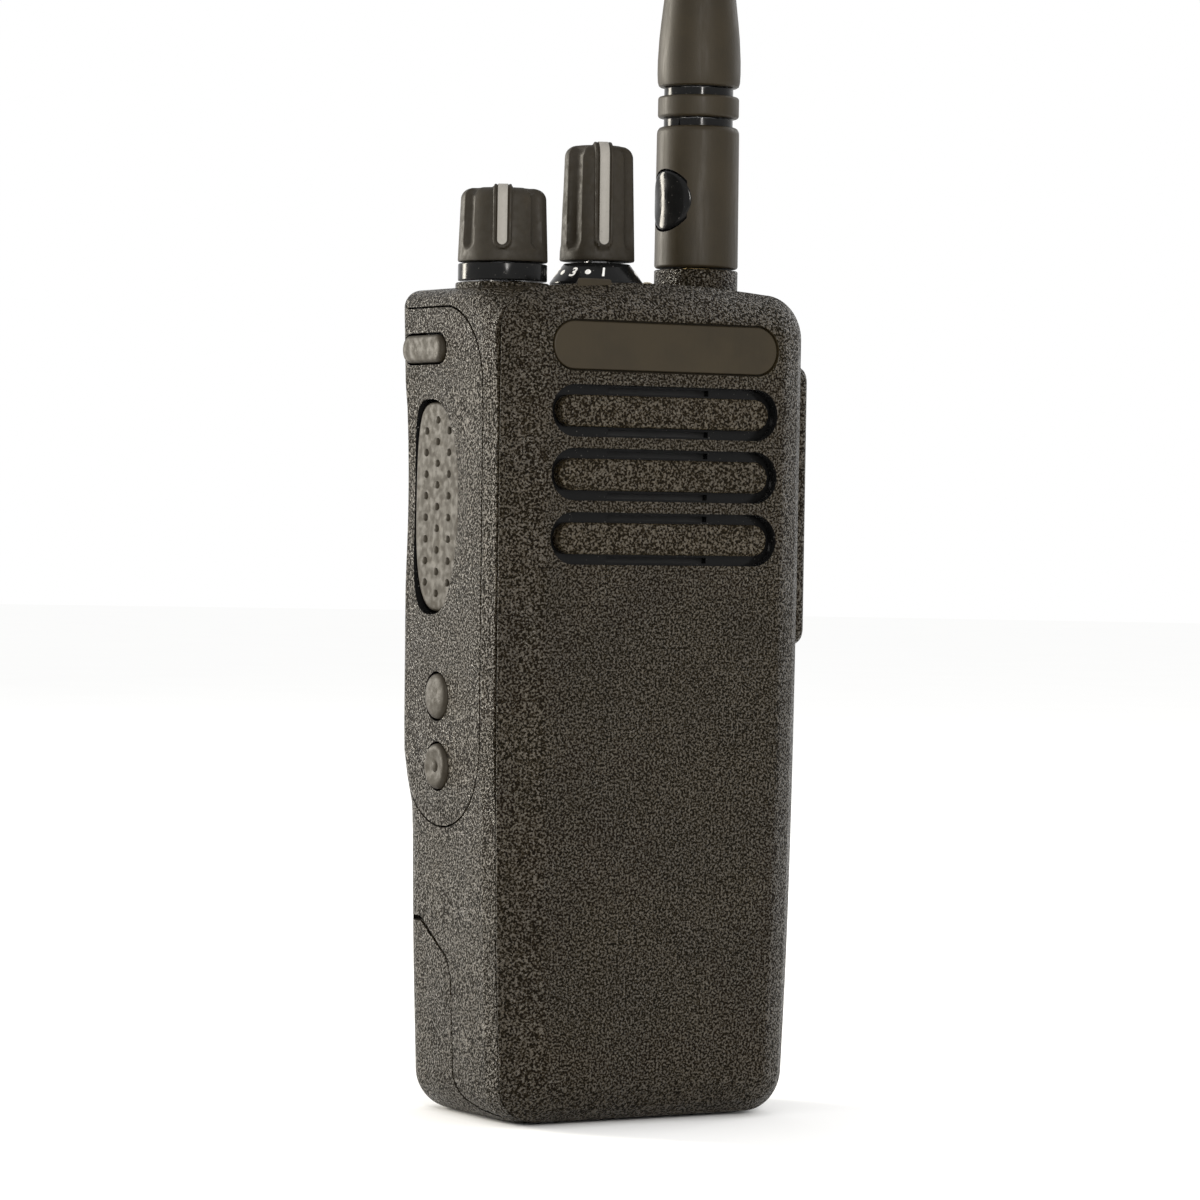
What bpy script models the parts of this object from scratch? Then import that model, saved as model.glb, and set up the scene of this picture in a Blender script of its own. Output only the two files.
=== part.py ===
"""Handheld two-way radio: moulded shell, whip antenna, rotary controls, side keys, slide-off battery.

X runs to the right, Y to the back and Z up. The origin lies on the underside, below the controls.
"""

import math

import bmesh
import bpy
from mathutils import Matrix, Vector

MM = 0.001                      # every length below is in millimetres
GAP = 0.3                       # clearance between pieces that touch

# Envelope of the body
HEIGHT = 129.7                  # top of the shell in the middle
FACE_Y = -18.0                  # flat front of the panel
PANEL_BASE_Y = -13.2            # rear edge of the panel
SHELL_FRONT_Y = -12.9
BACK_Y = 17.4
TOP_ARCH = 0.0026               # drop of the panel's top edge, times x squared
TOP_CORNER = 7.0
REAR_ARCH = 0.0012              # the shell's top is flatter and squarer behind the panel
REAR_TOP_CORNER = 2.8
SHOULDER_REAR_Y = -5.0
BOTTOM_CORNER = 6.5
ARC_STEPS = 5

# Control axes on the top face
CONTROL_Y = 0.5
VOLUME_X = -19.1
CHANNEL_X = -2.2
ANTENNA_X = 16.0
VOLUME_POINTER = 240            # degrees anticlockwise from +X
CHANNEL_POINTER = 250
BADGE_FACING = 187              # degrees anticlockwise from +X
FLUTE_PLACES = 7                # places round a knob, one of them taken by the pointer

# Front panel
GRILLE_LEVELS = {"upper": 109.9, "middle": 100.15, "lower": 90.35}
SLOT_HALF = 20.2
SLOT_HEIGHT = 8.0
BAR_HALF = 18.6
BAR_HEIGHT = 4.85
NAME_Z = 119.9
NAME_HALF = 20.3
NAME_HEIGHT = 7.95
SPEAKER_Z = 100.0

# Left flank
PLATE_INNER_X = -25.0
TALK_Y, TALK_Z = 6.9, 94.9
TALK_HALF_Y, TALK_HALF_Z = 7.8, 16.8
TALK_LEAN = 1.6                 # how far the talk key's tip leans to the back
TALK_FACE_X = -26.6
THUMB_HOLLOW = ((-36.3, 11.0, 96.2), (10.0, 31.5, 37.2))      # centre and radii
SIDE_KEYS = {"upper": (4.4, 65.4), "lower": (4.2, 54.5)}
TOP_KEY_Z = 119.5
KEY_REST_X = -24.2              # inner face of every key

# Battery
WELL_HALF = 21.2
PACK_HALF = 20.9
PACK_FRONT_Y = 0.3
PACK_TOP = 107.5

# Antenna
MAST_FOOT = 133.4
BAND_LOW, BAND_HIGH = 157.3, 160.7
WHIP_LOW, WHIP_TOP = 162.2, 280.0

FINISHES = {                    # colour, roughness, metallic
    "grained": ((0.030, 0.028, 0.023), 0.55, 0.0),
    "smooth": ((0.022, 0.020, 0.017), 0.45, 0.0),
    "rubber": ((0.035, 0.032, 0.026), 0.75, 0.0),
    "gloss": ((0.006, 0.006, 0.006), 0.12, 0.0),
    "pointer": ((0.42, 0.40, 0.37), 0.60, 0.0),
    "lens": ((0.35, 0.30, 0.20), 0.15, 0.0),
    "board": ((0.02, 0.10, 0.05), 0.50, 0.0),
    "cell": ((0.05, 0.09, 0.20), 0.45, 0.0),
    "paper": ((0.04, 0.04, 0.04), 0.90, 0.0),
    "aluminium": ((0.55, 0.55, 0.56), 0.40, 1.0),
    "steel": ((0.48, 0.48, 0.50), 0.30, 1.0),
    "brass": ((0.70, 0.50, 0.20), 0.28, 1.0),
}

for leftover in list(bpy.data.objects):
    bpy.data.objects.remove(leftover, do_unlink=True)
PARTS = bpy.data.collections.new("portable_radio")
CUTTERS = bpy.data.collections.new("cutters")
bpy.context.scene.collection.children.link(PARTS)
bpy.context.scene.collection.children.link(CUTTERS)


# ---- shared tools -------------------------------------------------------------------------------

def add_object(name, mesh, finish, location=(0, 0, 0)):
    """Link a mesh as a part, or as a cutter when it has no finish."""
    obj = bpy.data.objects.new(name, mesh)
    obj.location = Vector(location) * MM
    if finish is None:
        CUTTERS.objects.link(obj)
        obj.hide_render = True
        obj.display_type = 'WIRE'
        return obj
    PARTS.objects.link(obj)
    colour, roughness, metallic = FINISHES[finish]
    material = bpy.data.materials.new(name + "_" + finish)
    material.use_nodes = True
    shader = material.node_tree.nodes["Principled BSDF"]
    shader.inputs["Base Color"].default_value = (*colour, 1.0)
    shader.inputs["Roughness"].default_value = roughness
    shader.inputs["Metallic"].default_value = metallic
    mesh.materials.append(material)
    return obj


def close_mesh(bm, name):
    """Turn every face outward, scale to metres and hand over the mesh."""
    bmesh.ops.recalc_face_normals(bm, faces=bm.faces)
    bmesh.ops.scale(bm, vec=(MM, MM, MM), verts=bm.verts)
    mesh = bpy.data.meshes.new(name)
    bm.to_mesh(mesh)
    bm.free()
    return mesh


def box(name, low, high, finish=None, bevel=0.0, segments=2):
    bm = bmesh.new()
    bmesh.ops.create_cube(bm, size=1.0)
    size = [b - a for a, b in zip(low, high)]
    centre = [(a + b) / 2 for a, b in zip(low, high)]
    bmesh.ops.scale(bm, vec=size, verts=bm.verts)
    bmesh.ops.translate(bm, vec=centre, verts=bm.verts)
    obj = add_object(name, close_mesh(bm, name), finish)
    if bevel:
        round_edges(obj, bevel, segments)
    return obj


def round_edges(obj, width, segments=2):
    bevel = obj.modifiers.new("rounded", 'BEVEL')
    bevel.width = width * MM
    bevel.segments = segments
    bevel.limit_method = 'ANGLE'
    bevel.angle_limit = math.radians(40)


def aim(obj, direction):
    """Lay local +Z along a world direction."""
    obj.rotation_euler = Vector(direction).to_track_quat('Z', 'Y').to_euler()


def drum(name, radius, at, length, direction=(0, 0, 1), finish=None, sides=28):
    """A cylinder that starts at a point and runs along a direction."""
    bm = bmesh.new()
    bmesh.ops.create_cone(bm, cap_ends=True, segments=sides, radius1=radius, radius2=radius, depth=length)
    bmesh.ops.translate(bm, vec=(0, 0, length / 2), verts=bm.verts)
    obj = add_object(name, close_mesh(bm, name), finish, at)
    aim(obj, direction)
    return obj


def turned(name, profile, at, finish=None, direction=(0, 0, 1), steps=32):
    """A turned piece: its (radius, height) profile runs down the outer side."""
    bm = bmesh.new()
    corners = [bm.verts.new((radius * MM, 0, height * MM)) for radius, height in profile]
    for first, second in zip(corners, corners[1:]):
        bm.edges.new((first, second))
    if profile[0][0] > 0:
        bm.edges.new((corners[-1], corners[0]))
    mesh = bpy.data.meshes.new(name)
    bm.to_mesh(mesh)
    bm.free()
    obj = add_object(name, mesh, finish, at)
    aim(obj, direction)
    screw = obj.modifiers.new("turned", 'SCREW')
    screw.steps = steps
    screw.render_steps = steps
    screw.use_merge_vertices = True
    screw.merge_threshold = 0.00001
    return obj


def prism(name, outline, axis, low, high, finish=None):
    """Extrude a closed outline along X (y, z points), Y (x, z) or Z (x, y)."""
    places = {"X": lambda a, b, d: (d, a, b), "Y": lambda a, b, d: (a, d, b), "Z": lambda a, b, d: (a, b, d)}
    place = places[axis]
    bm = bmesh.new()
    face = bm.faces.new([bm.verts.new(place(a, b, low)) for a, b in outline])
    grown = bmesh.ops.extrude_face_region(bm, geom=[face])
    top = [item for item in grown["geom"] if isinstance(item, bmesh.types.BMVert)]
    bmesh.ops.translate(bm, vec=place(0, 0, high - low), verts=top)
    return add_object(name, close_mesh(bm, name), finish)


def loft(name, rings, finish=None):
    """Skin a stack of rings that have equal counts of points, with a cap on each end."""
    bm = bmesh.new()
    rows = [[bm.verts.new(point) for point in ring] for ring in rings]
    count = len(rows[0])
    for lower, upper in zip(rows, rows[1:]):
        for i in range(count):
            j = (i + 1) % count
            bm.faces.new((lower[i], lower[j], upper[j], upper[i]))
    bm.faces.new(rows[0])
    bm.faces.new(rows[-1])
    return add_object(name, close_mesh(bm, name), finish)


def combine(obj, other, operation='DIFFERENCE'):
    boolean = obj.modifiers.new(other.name, 'BOOLEAN')
    boolean.operation = operation
    boolean.object = other
    boolean.solver = 'EXACT'


def cut(obj, *cutters):
    for cutter in cutters:
        combine(obj, cutter)


def join(obj, *others):
    for other in others:
        combine(obj, other, 'UNION')


def spin_mesh(obj, angle):
    """Turn a mesh about the upright line through its own origin."""
    obj.data.transform(Matrix.Rotation(math.radians(angle), 4, 'Z'))
    return obj


def pivot(name, at, *pieces):
    """Hang moving pieces on an empty that stands on their joint's axis."""
    holder = bpy.data.objects.new(name, None)
    holder.location = Vector(at) * MM
    holder.empty_display_size = 0.01
    PARTS.objects.link(holder)
    for piece in pieces:
        piece.parent = holder
        piece.matrix_parent_inverse = Matrix.Translation(holder.location).inverted()


def stadium(x_half, height, z_centre, x_centre=0.0, steps=8):
    """A flat-sided outline with half-round ends."""
    radius = height / 2
    points = []
    for side, start in ((1, -90), (-1, 90)):
        for step in range(steps + 1):
            angle = math.radians(start + 180 * step / steps)
            points.append((x_centre + side * (x_half - radius) + radius * math.cos(angle),
                           z_centre + radius * math.sin(angle)))
    return points


def leaf(y_centre, z_centre, half_y, half_z, count=36, power=2.7):
    """A superellipse whose upper end leans to the back: fuller than an ellipse, softer than a stadium."""
    points = []
    for step in range(count):
        angle = 2 * math.pi * step / count
        c, s = math.cos(angle), math.sin(angle)
        up = math.copysign(abs(s) ** (2 / power), s)
        points.append((y_centre + half_y * math.copysign(abs(c) ** (2 / power), c)
                       + TALK_LEAN * max(up, 0.0) ** 3, z_centre + half_z * up))
    return points


def ease(value, low, high):
    t = min(max((value - low) / (high - low), 0.0), 1.0)
    return t * t * (3 - 2 * t)


# ---- envelope -----------------------------------------------------------------------------------

def panel_half(z):
    """The front panel narrows towards the foot."""
    return 27.05 - 2.2 * math.exp(-max(z, 8.0) / 30.0)


def right_half(z):
    return panel_half(z) + 0.4 + 0.3 * ease(z, 47, 54)


def left_half(z):
    return right_half(z) + 0.5 * ease(z, 112, 119)


def rear_radius(z):
    return 6.2 - 3.2 * ease(z, 46, 58) - 0.8 * ease(z, 108, 116)


def half_outline(half_width, low, high, top_corner, arch):
    """Right half of the front view, bottom centre to top centre: x, z and the outward direction."""
    foot_x, foot_z = half_width(low + BOTTOM_CORNER) - BOTTOM_CORNER, low + BOTTOM_CORNER
    head_x = half_width(high - top_corner) - top_corner
    head_z = high - arch * head_x ** 2 - top_corner
    points = [(0.0, low, 0.0, -1.0), (10.0, low, 0.0, -1.0)]
    corners = ((foot_x, foot_z, BOTTOM_CORNER, -90), (head_x, head_z, top_corner, 0))
    for x, z, radius, start in corners:
        for step in range(ARC_STEPS + 1):
            angle = math.radians(start + 90 * step / ARC_STEPS)
            c, s = math.cos(angle), math.sin(angle)
            points.append((x + radius * c, z + radius * s, c, s))
        if start < 0:
            for level in (15, 30, 45, 50, 56, 80, 108, 115):
                points.append((half_width(level), level, 1.0, 0.0))
    points += [(x, high - arch * x * x, 0.0, 1.0) for x in (14.0, 7.0, 0.0)]
    return points


def body_outline(left, right, low, high, top_corner=TOP_CORNER, arch=TOP_ARCH):
    right_side = half_outline(right, low, high, top_corner, arch)
    left_side = [(-x, z, -nx, nz) for x, z, nx, nz in half_outline(left, low, high, top_corner, arch)]
    return right_side + left_side[-2:0:-1]


def shell_outline(y):
    """The shell's front view at a depth: its top corners tighten from the panel backwards."""
    rearward = ease(y, SHELL_FRONT_Y, SHOULDER_REAR_Y)
    top_corner = TOP_CORNER + (REAR_TOP_CORNER - TOP_CORNER) * rearward
    arch = TOP_ARCH + (REAR_ARCH - TOP_ARCH) * rearward
    return body_outline(left_half, right_half, 0.0, HEIGHT, top_corner, arch)


def envelope(name, finish=None):
    """The closed outer form of shell, side plate and battery together."""
    rings = []
    for y, inset in ((SHELL_FRONT_Y, 0.9), (-12.2, 0.3), (-10.5, 0.0), (-8.2, 0.0)):
        rings.append([(x - nx * inset, y, z - nz * inset) for x, z, nx, nz in shell_outline(y)])
    rings.append([(x, SHOULDER_REAR_Y, z) for x, z, nx, nz in shell_outline(SHOULDER_REAR_Y)])
    for degrees in (0, 25, 50, 72, 90):
        lean = math.radians(degrees)
        ring = []
        for x, z, nx, nz in shell_outline(BACK_Y):
            radius = rear_radius(z)
            inset = radius * (1 - math.cos(lean))
            ring.append((x - nx * inset, BACK_Y - radius * (1 - math.sin(lean)), z - nz * inset))
        rings.append(ring)
    return loft(name, rings, finish)


def plate_outline(grow):
    """Side view (y, z) of the side plate: a tongue with a round foot, open to the back higher up."""
    front, head = -9.3 - grow, 125.8 + grow
    foot_radius, foot_z, head_radius = 12.7 + grow, 58.0, 11.5
    points = []
    for step in range(13):
        angle = math.radians(-20 - 160 * step / 12)
        points.append((front + foot_radius * (1 + math.cos(angle)), foot_z + foot_radius * math.sin(angle)))
    for step in range(7):
        angle = math.radians(180 - 15 * step)
        points.append((front + head_radius * (1 + math.cos(angle)),
                       head - head_radius * (1 - math.sin(angle))))
    return points + [(22.0, head), (22.0, points[0][1])]


def pack_outline(grow):
    """Side view (y, z) of the battery where it reaches the flanks and the underside."""
    slope, shadow = grow * 1.2, grow * 2.8
    return [(-9.8 - grow, -3.0), (-9.8 - grow, 1.2 + grow), (-5.6 - slope, 1.8 + grow),
            (-1.4 - slope, 3.4 + grow), (0.55 - grow, 6.4 + grow), (0.55 - grow, 21.6),
            (1.9 - slope, 24.7 + grow), (10.2, 29.9 + shadow), (22.0, 29.9 + shadow), (22.0, -3.0)]


# ---- shell --------------------------------------------------------------------------------------

def make_front_housing():
    shell = envelope("front_housing", "grained")
    top = (VOLUME_X, CONTROL_Y, 126.0)
    join(shell,
         drum("volume_seat", 7.3, top, 3.75),
         drum("antenna_boss", 6.65, (ANTENNA_X, CONTROL_Y, 126.5), 6.6))
    cut(shell,
        box("cut_front_cavity", (-21.4, -14, 5.6), (24.8, -1.2, 126.3)),
        box("cut_top_cavity", (-21.4, -2, 110), (24.8, 14.6, 126.3)),
        box("cut_battery_well", (-WELL_HALF, -1.5, -2), (WELL_HALF, 20, 107.8)),
        prism("cut_battery_flank", pack_outline(GAP), "X", -32, 32),
        prism("cut_plate_recess", plate_outline(GAP), "X", -32, PLATE_INNER_X + GAP),
        box("cut_key_pocket", (-26, -4.6, 49), (-22.4, 15.6, 121.4)),
        box("cut_catch_slot", (-4.6, -3.3, -2), (4.6, -1.0, 7)),
        box("cut_accessory_window", (24, -7, 84), (29, 3, 112)),
        drum("cut_cover_screw_hole", 2.1, (26.3, -2.75, 79.5), 3, (1, 0, 0)),
        drum("cut_volume_hole", 3.6, (VOLUME_X, CONTROL_Y, 121.7), 10),
        drum("cut_channel_hole", 3.6, (CHANNEL_X, CONTROL_Y, 122.8), 9),
        drum("cut_antenna_hole", 4.2, (ANTENNA_X, CONTROL_Y, 122.8), 12),
        drum("cut_led_hole", 1.5, (7.0, CONTROL_Y, 122.8), 9, sides=16))


def make_front_panel():
    outline = body_outline(panel_half, panel_half, 0.6, 130.0)
    rings = []
    for y, inset in ((PANEL_BASE_Y, 0.0), (-14.2, 0.55), (-16.2, 2.1), (-17.2, 3.7), (-17.8, 5.2),
                     (FACE_Y, 6.2)):
        rings.append([(x - nx * inset, y, z - nz * inset) for x, z, nx, nz in outline])
    panel = loft("front_panel", rings, "grained")
    cut(panel,
        box("cut_panel_back", (-22.4, -15.8, 6), (22.4, -12, 123)),
        prism("cut_name_recess", stadium(NAME_HALF, NAME_HEIGHT, NAME_Z), "Y", -20, -16.9))
    for level, z in GRILLE_LEVELS.items():
        cut(panel, prism("cut_slot_" + level, stadium(SLOT_HALF, SLOT_HEIGHT, z), "Y", -20, -15))


def make_grille():
    prism("name_plate", stadium(NAME_HALF - GAP, NAME_HEIGHT - 2 * GAP, NAME_Z), "Y", -17.9, -17.2, "smooth")
    baffle = box("speaker_baffle", (-22.1, -15.5, 83.5), (22.1, -14.3, 116.8), "gloss")
    for level, z in GRILLE_LEVELS.items():
        prism("grille_bar_" + level, stadium(BAR_HALF, BAR_HEIGHT, z), "Y", -17.9, -15.8, "grained")
        for side in (-1, 1):
            offset = side * (SLOT_HEIGHT + BAR_HEIGHT) / 4
            name = "cut_sound_%s_%s" % (level, "high" if side > 0 else "low")
            cut(baffle, box(name, (-9, -17, z + offset - 0.45), (9, -13, z + offset + 0.45)))


def make_speaker():
    at = (0, 0, SPEAKER_Z)
    front = (0, -1, 0)
    turned("speaker_screen", [(0, 14.0), (16.5, 14.0), (16.5, 13.7), (0, 13.7)], at, "paper", front)
    turned("speaker_frame", [(18.0, 13.3), (18.0, 12.3), (16.6, 11.8), (12.0, 9.0), (9.4, 9.0), (9.4, 9.8),
                             (11.6, 9.8), (15.9, 12.6), (15.9, 13.3)], at, "steel", front)
    turned("speaker_cone", [(0, 10.9), (5.0, 11.5), (11.0, 11.4), (15.2, 13.2), (15.5, 12.9), (11.2, 10.9),
                            (5.0, 10.6), (0, 10.2)], at, "paper", front)
    turned("speaker_magnet", [(0, 9.5), (7.0, 9.5), (8.9, 9.0), (8.9, 6.6), (0, 6.6)], at, "steel", front)
    turned("microphone", [(0, 14.4), (2.0, 14.4), (2.0, 12.8), (0, 12.8)], (14, 0, 79.5), "aluminium",
           front, 16)


# ---- inside -------------------------------------------------------------------------------------

BOARD_SCREWS = {"lower_left": (-16.5, 13), "lower_right": (20, 13), "upper_left": (-16.5, 102),
                "upper_right": (20, 102)}


def make_chassis():
    chassis = box("chassis", (-20.9, -3.4, 6.2), (24.4, -1.8, 107.4), "aluminium")
    board = box("main_board", (-19.2, -6.1, 10), (22.6, -4.9, 105.5), "board")
    for corner, (x, z) in BOARD_SCREWS.items():
        join(chassis, drum("boss_" + corner, 2.2, (x, -4.6, z), 2.0, (0, 1, 0), sides=12))
    for corner, (x, z) in BOARD_SCREWS.items():
        cut(chassis, drum("cut_thread_" + corner, 1.2, (x, -5.5, z), 3.2, (0, 1, 0), sides=12))
        cut(board, drum("cut_clearance_" + corner, 1.2, (x, -7, z), 3, (0, 1, 0), sides=12))
        turned("board_screw_" + corner,
               [(0, 7.3), (1.8, 7.1), (1.8, 6.4), (0.85, 6.4), (0.85, 2.8), (0, 2.8)],
               (x, 0, z), "steel", (0, -1, 0), 12)
    cut(chassis, box("cut_catch", (-4.6, -5, 4), (4.6, 0, 9.4)))
    seal = box("main_seal", (-20.9, -4.5, 6.4), (24.4, -3.7, 107.4), "rubber")
    cut(seal, box("cut_seal", (-19.9, -6, 7.4), (23.4, -2, 106.4)))
    shield = box("rf_shield", (-13, -9.4, 16), (16, -6.4, 72), "steel", 0.4, 1)
    cut(shield, box("cut_shield", (-12.5, -8.9, 16.5), (15.5, -5, 71.5)))
    block = box("contact_block", (-8, -1.5, 93), (8, -0.7, 102), "smooth")
    for x in (-6, -2, 2, 6):
        join(block, box("contact_nib_%d" % x, (x - 0.8, -1.0, 95), (x + 0.8, 0.0, 100)))


def make_encoder(name, x, half_x, shift, low):
    """A potentiometer or switch body with its threaded neck and open bore."""
    body = box(name, (x - half_x + shift, CONTROL_Y - 5.5, low), (x + half_x + shift, CONTROL_Y + 5.5, 122.5),
               "smooth", 0.4, 1)
    join(body, drum(name + "_neck", 3.3, (x, CONTROL_Y, 122), 7.6, sides=20))
    cut(body, drum("cut_" + name, 2.3, (x, CONTROL_Y, 116.5), 16, sides=20))


def make_encoders():
    make_encoder("volume_potentiometer", VOLUME_X, 4.2, 2.3, 113)
    make_encoder("channel_switch", CHANNEL_X, 6.2, 0.0, 112)
    turned("antenna_socket", [(3.9, 132.8), (3.9, 126.0), (5.2, 126.0), (5.2, 123.2), (3.9, 123.2),
                              (3.9, 116), (2.6, 116), (2.6, 132.8)],
           (ANTENNA_X, CONTROL_Y, 0), "brass", steps=24)
    turned("status_lens", [(0, 131.0), (0.8, 130.8), (1.2, 130.2), (1.2, 123.5), (0, 123.5)],
           (7.0, CONTROL_Y, 0), "lens", steps=16)


# ---- top controls -------------------------------------------------------------------------------

def radial_box(name, at, angle, low, high, finish=None, bevel=0.0):
    """A box given in (outward, sideways, up) beside an upright axis."""
    obj = box(name, low, high, finish, bevel, 2)
    spin_mesh(obj, angle)
    obj.location = Vector((at[0], at[1], 0)) * MM
    return obj


def flute_cutters(name, at, ring, radius, low, high, pointer):
    """Upright rods round the knob, evenly spaced with the pointer's rib in the place of one."""
    bm = bmesh.new()
    for i in range(1, FLUTE_PLACES):
        angle = math.radians(pointer + 360 * i / FLUTE_PLACES)
        rod = bmesh.ops.create_cone(bm, cap_ends=True, segments=12, radius1=radius, radius2=radius,
                                    depth=high - low)
        bmesh.ops.translate(bm, vec=(ring * math.cos(angle), ring * math.sin(angle), (low + high) / 2),
                            verts=rod["verts"])
    return add_object(name, close_mesh(bm, name), None, (at[0], at[1], 0))


def make_knob(kind, x, low, high, foot_radius, head_radius, angle):
    at = (x, CONTROL_Y)
    skirt = foot_radius - 0.1
    knob = turned(kind + "_knob", [(0, high), (head_radius - 1.6, high), (head_radius - 0.5, high - 0.5),
                                   (head_radius, high - 1.6), (skirt, low + 2.0), (foot_radius, low),
                                   (0, low)], (*at, 0), "rubber", steps=40)
    cut(knob, flute_cutters("cut_%s_flutes" % kind, at, foot_radius + 1.0, 1.75, low + 2.0, high + 2, angle))
    join(knob, radial_box(kind + "_rib", at, angle, (2.0, -1.45, low + 1.7),
                          (foot_radius + 0.45, 1.45, high + 0.45), bevel=0.4))
    cut(knob, radial_box("cut_%s_inlay" % kind, at, angle, (foot_radius, -0.95, low + 2.4),
                         (foot_radius + 2, 0.95, high + 2)))
    cut(knob, drum("cut_%s_bore" % kind, 2.3, (*at, low - 2), high - low - 2, sides=20))
    pointer = radial_box(kind + "_pointer", at, angle, (foot_radius + 0.25, -0.7, low + 2.65),
                         (foot_radius + 0.65, 0.7, high + 0.45), "pointer")
    shaft = turned(kind + "_shaft", [(0, high - 4.4), (2.0, high - 4.4), (2.0, 117), (0, 117)], (*at, 0),
                   "steel", steps=20)
    cut(shaft, box("cut_%s_flat" % kind, (x - 3, CONTROL_Y + 1.3, low + 1), (x + 3, CONTROL_Y + 3, high)))
    pivot(kind + "_axis", (*at, low), knob, pointer, shaft)


def make_controls():
    turned("volume_collar", [(6.95, 132.7), (6.95, 130.05), (3.7, 130.05), (3.7, 132.7)],
           (VOLUME_X, CONTROL_Y, 0), "gloss", steps=36)
    turned("channel_dial", [(5.2, 133.4), (7.4, 130.4), (7.4, 130.1), (3.7, 130.1), (3.7, 133.4)],
           (CHANNEL_X, CONTROL_Y, 0), "gloss", steps=36)
    make_knob("volume", VOLUME_X, 133.0, 144.4, 7.0, 6.65, VOLUME_POINTER)
    make_knob("channel", CHANNEL_X, 133.8, 151.9, 5.9, 5.45, CHANNEL_POINTER)


# ---- antenna ------------------------------------------------------------------------------------

def make_antenna():
    at = (ANTENNA_X, CONTROL_Y, 0)
    facing = math.radians(BADGE_FACING)
    outward = (math.cos(facing), math.sin(facing), 0)
    base = turned("antenna_base", [(0, 157.0), (5.5, 157.0), (5.5, 155.9), (6.2, 155.7), (6.55, 155.0),
                                   (6.65, MAST_FOOT), (0, MAST_FOOT)], at, "smooth")
    pocket_at = (ANTENNA_X + 5.2 * outward[0], CONTROL_Y + 5.2 * outward[1], 144)
    cut(base,
        drum("cut_base_socket", 3.3, (ANTENNA_X, CONTROL_Y, 150), 9, sides=20),
        drum("cut_base_stud", 2.6, (ANTENNA_X, CONTROL_Y, 132), 8, sides=20),
        drum("cut_badge_pocket", 5.0, pocket_at, 4, outward))
    badge_at = (ANTENNA_X + 5.5 * outward[0], CONTROL_Y + 5.5 * outward[1], 144)
    badge = drum("antenna_badge", 4.7, badge_at, 2, outward, "gloss")
    badge_skin = turned("badge_skin", [(0, 150), (6.75, 150), (6.75, 138), (0, 138)], at, steps=40)
    combine(badge, badge_skin, 'INTERSECT')
    stud = turned("antenna_stud", [(0, 139.6), (2.3, 139.6), (2.3, 121), (1.8, 120.4), (0, 120.4)], at,
                  "brass", steps=20)
    band = turned("antenna_band", [(5.5, 161.9), (5.5, BAND_HIGH), (6.2, BAND_HIGH), (6.45, 160.4),
                                   (6.45, 157.6), (6.2, BAND_LOW), (3.3, BAND_LOW), (3.3, 161.9)], at,
                  "smooth")
    sleeve = turned("antenna_sleeve", [(0, 170), (3.0, 170), (3.0, 150.3), (0, 150.3)], at, "steel", steps=20)
    whip_side = [(0, WHIP_TOP), (2.0, 279.5), (3.3, 278.2), (3.9, 276), (3.9, 215), (4.1, 198), (4.6, 187),
                 (5.2, 181), (5.75, 176), (6.4, 170), (6.6, 166.5), (6.55, 163.2), (6.2, WHIP_LOW)]
    bore = [(3.3, WHIP_LOW), (3.3, 170.4), (1.6, 170.4), (1.6, 275), (0, 275)]
    whip = turned("antenna_whip", whip_side + bore, at, "smooth")
    core = turned("antenna_core", [(0, 274), (1.2, 274), (1.2, 170.8), (0, 170.8)], at, "brass", steps=12)
    pivot("antenna_axis", (ANTENNA_X, CONTROL_Y, MAST_FOOT), base, badge, stud, band, sleeve, whip, core)


# ---- left flank ---------------------------------------------------------------------------------

def make_side_plate():
    plate = envelope("side_control_plate", "grained")
    combine(plate, prism("side_plate_region", plate_outline(0), "X", -32, PLATE_INNER_X), 'INTERSECT')
    centre, radii = THUMB_HOLLOW
    hollow = add_object("cut_thumb_hollow", ball_mesh("cut_thumb_hollow", radii), None, centre)
    cut(plate, hollow,
        prism("cut_talk_opening", leaf(TALK_Y, TALK_Z, TALK_HALF_Y, TALK_HALF_Z), "X", -32, -20),
        prism("cut_top_key_opening", stadium(6.8, 4.9, TOP_KEY_Z, 9.3), "X", -32, -20))
    for level, (y, z) in SIDE_KEYS.items():
        cut(plate, drum("cut_side_key_" + level, 3.87, (-32, y, z), 12, (1, 0, 0), sides=24))


def ball_mesh(name, radii):
    bm = bmesh.new()
    bmesh.ops.create_uvsphere(bm, u_segments=28, v_segments=14, radius=1.0)
    bmesh.ops.scale(bm, vec=radii, verts=bm.verts)
    return close_mesh(bm, name)


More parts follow.
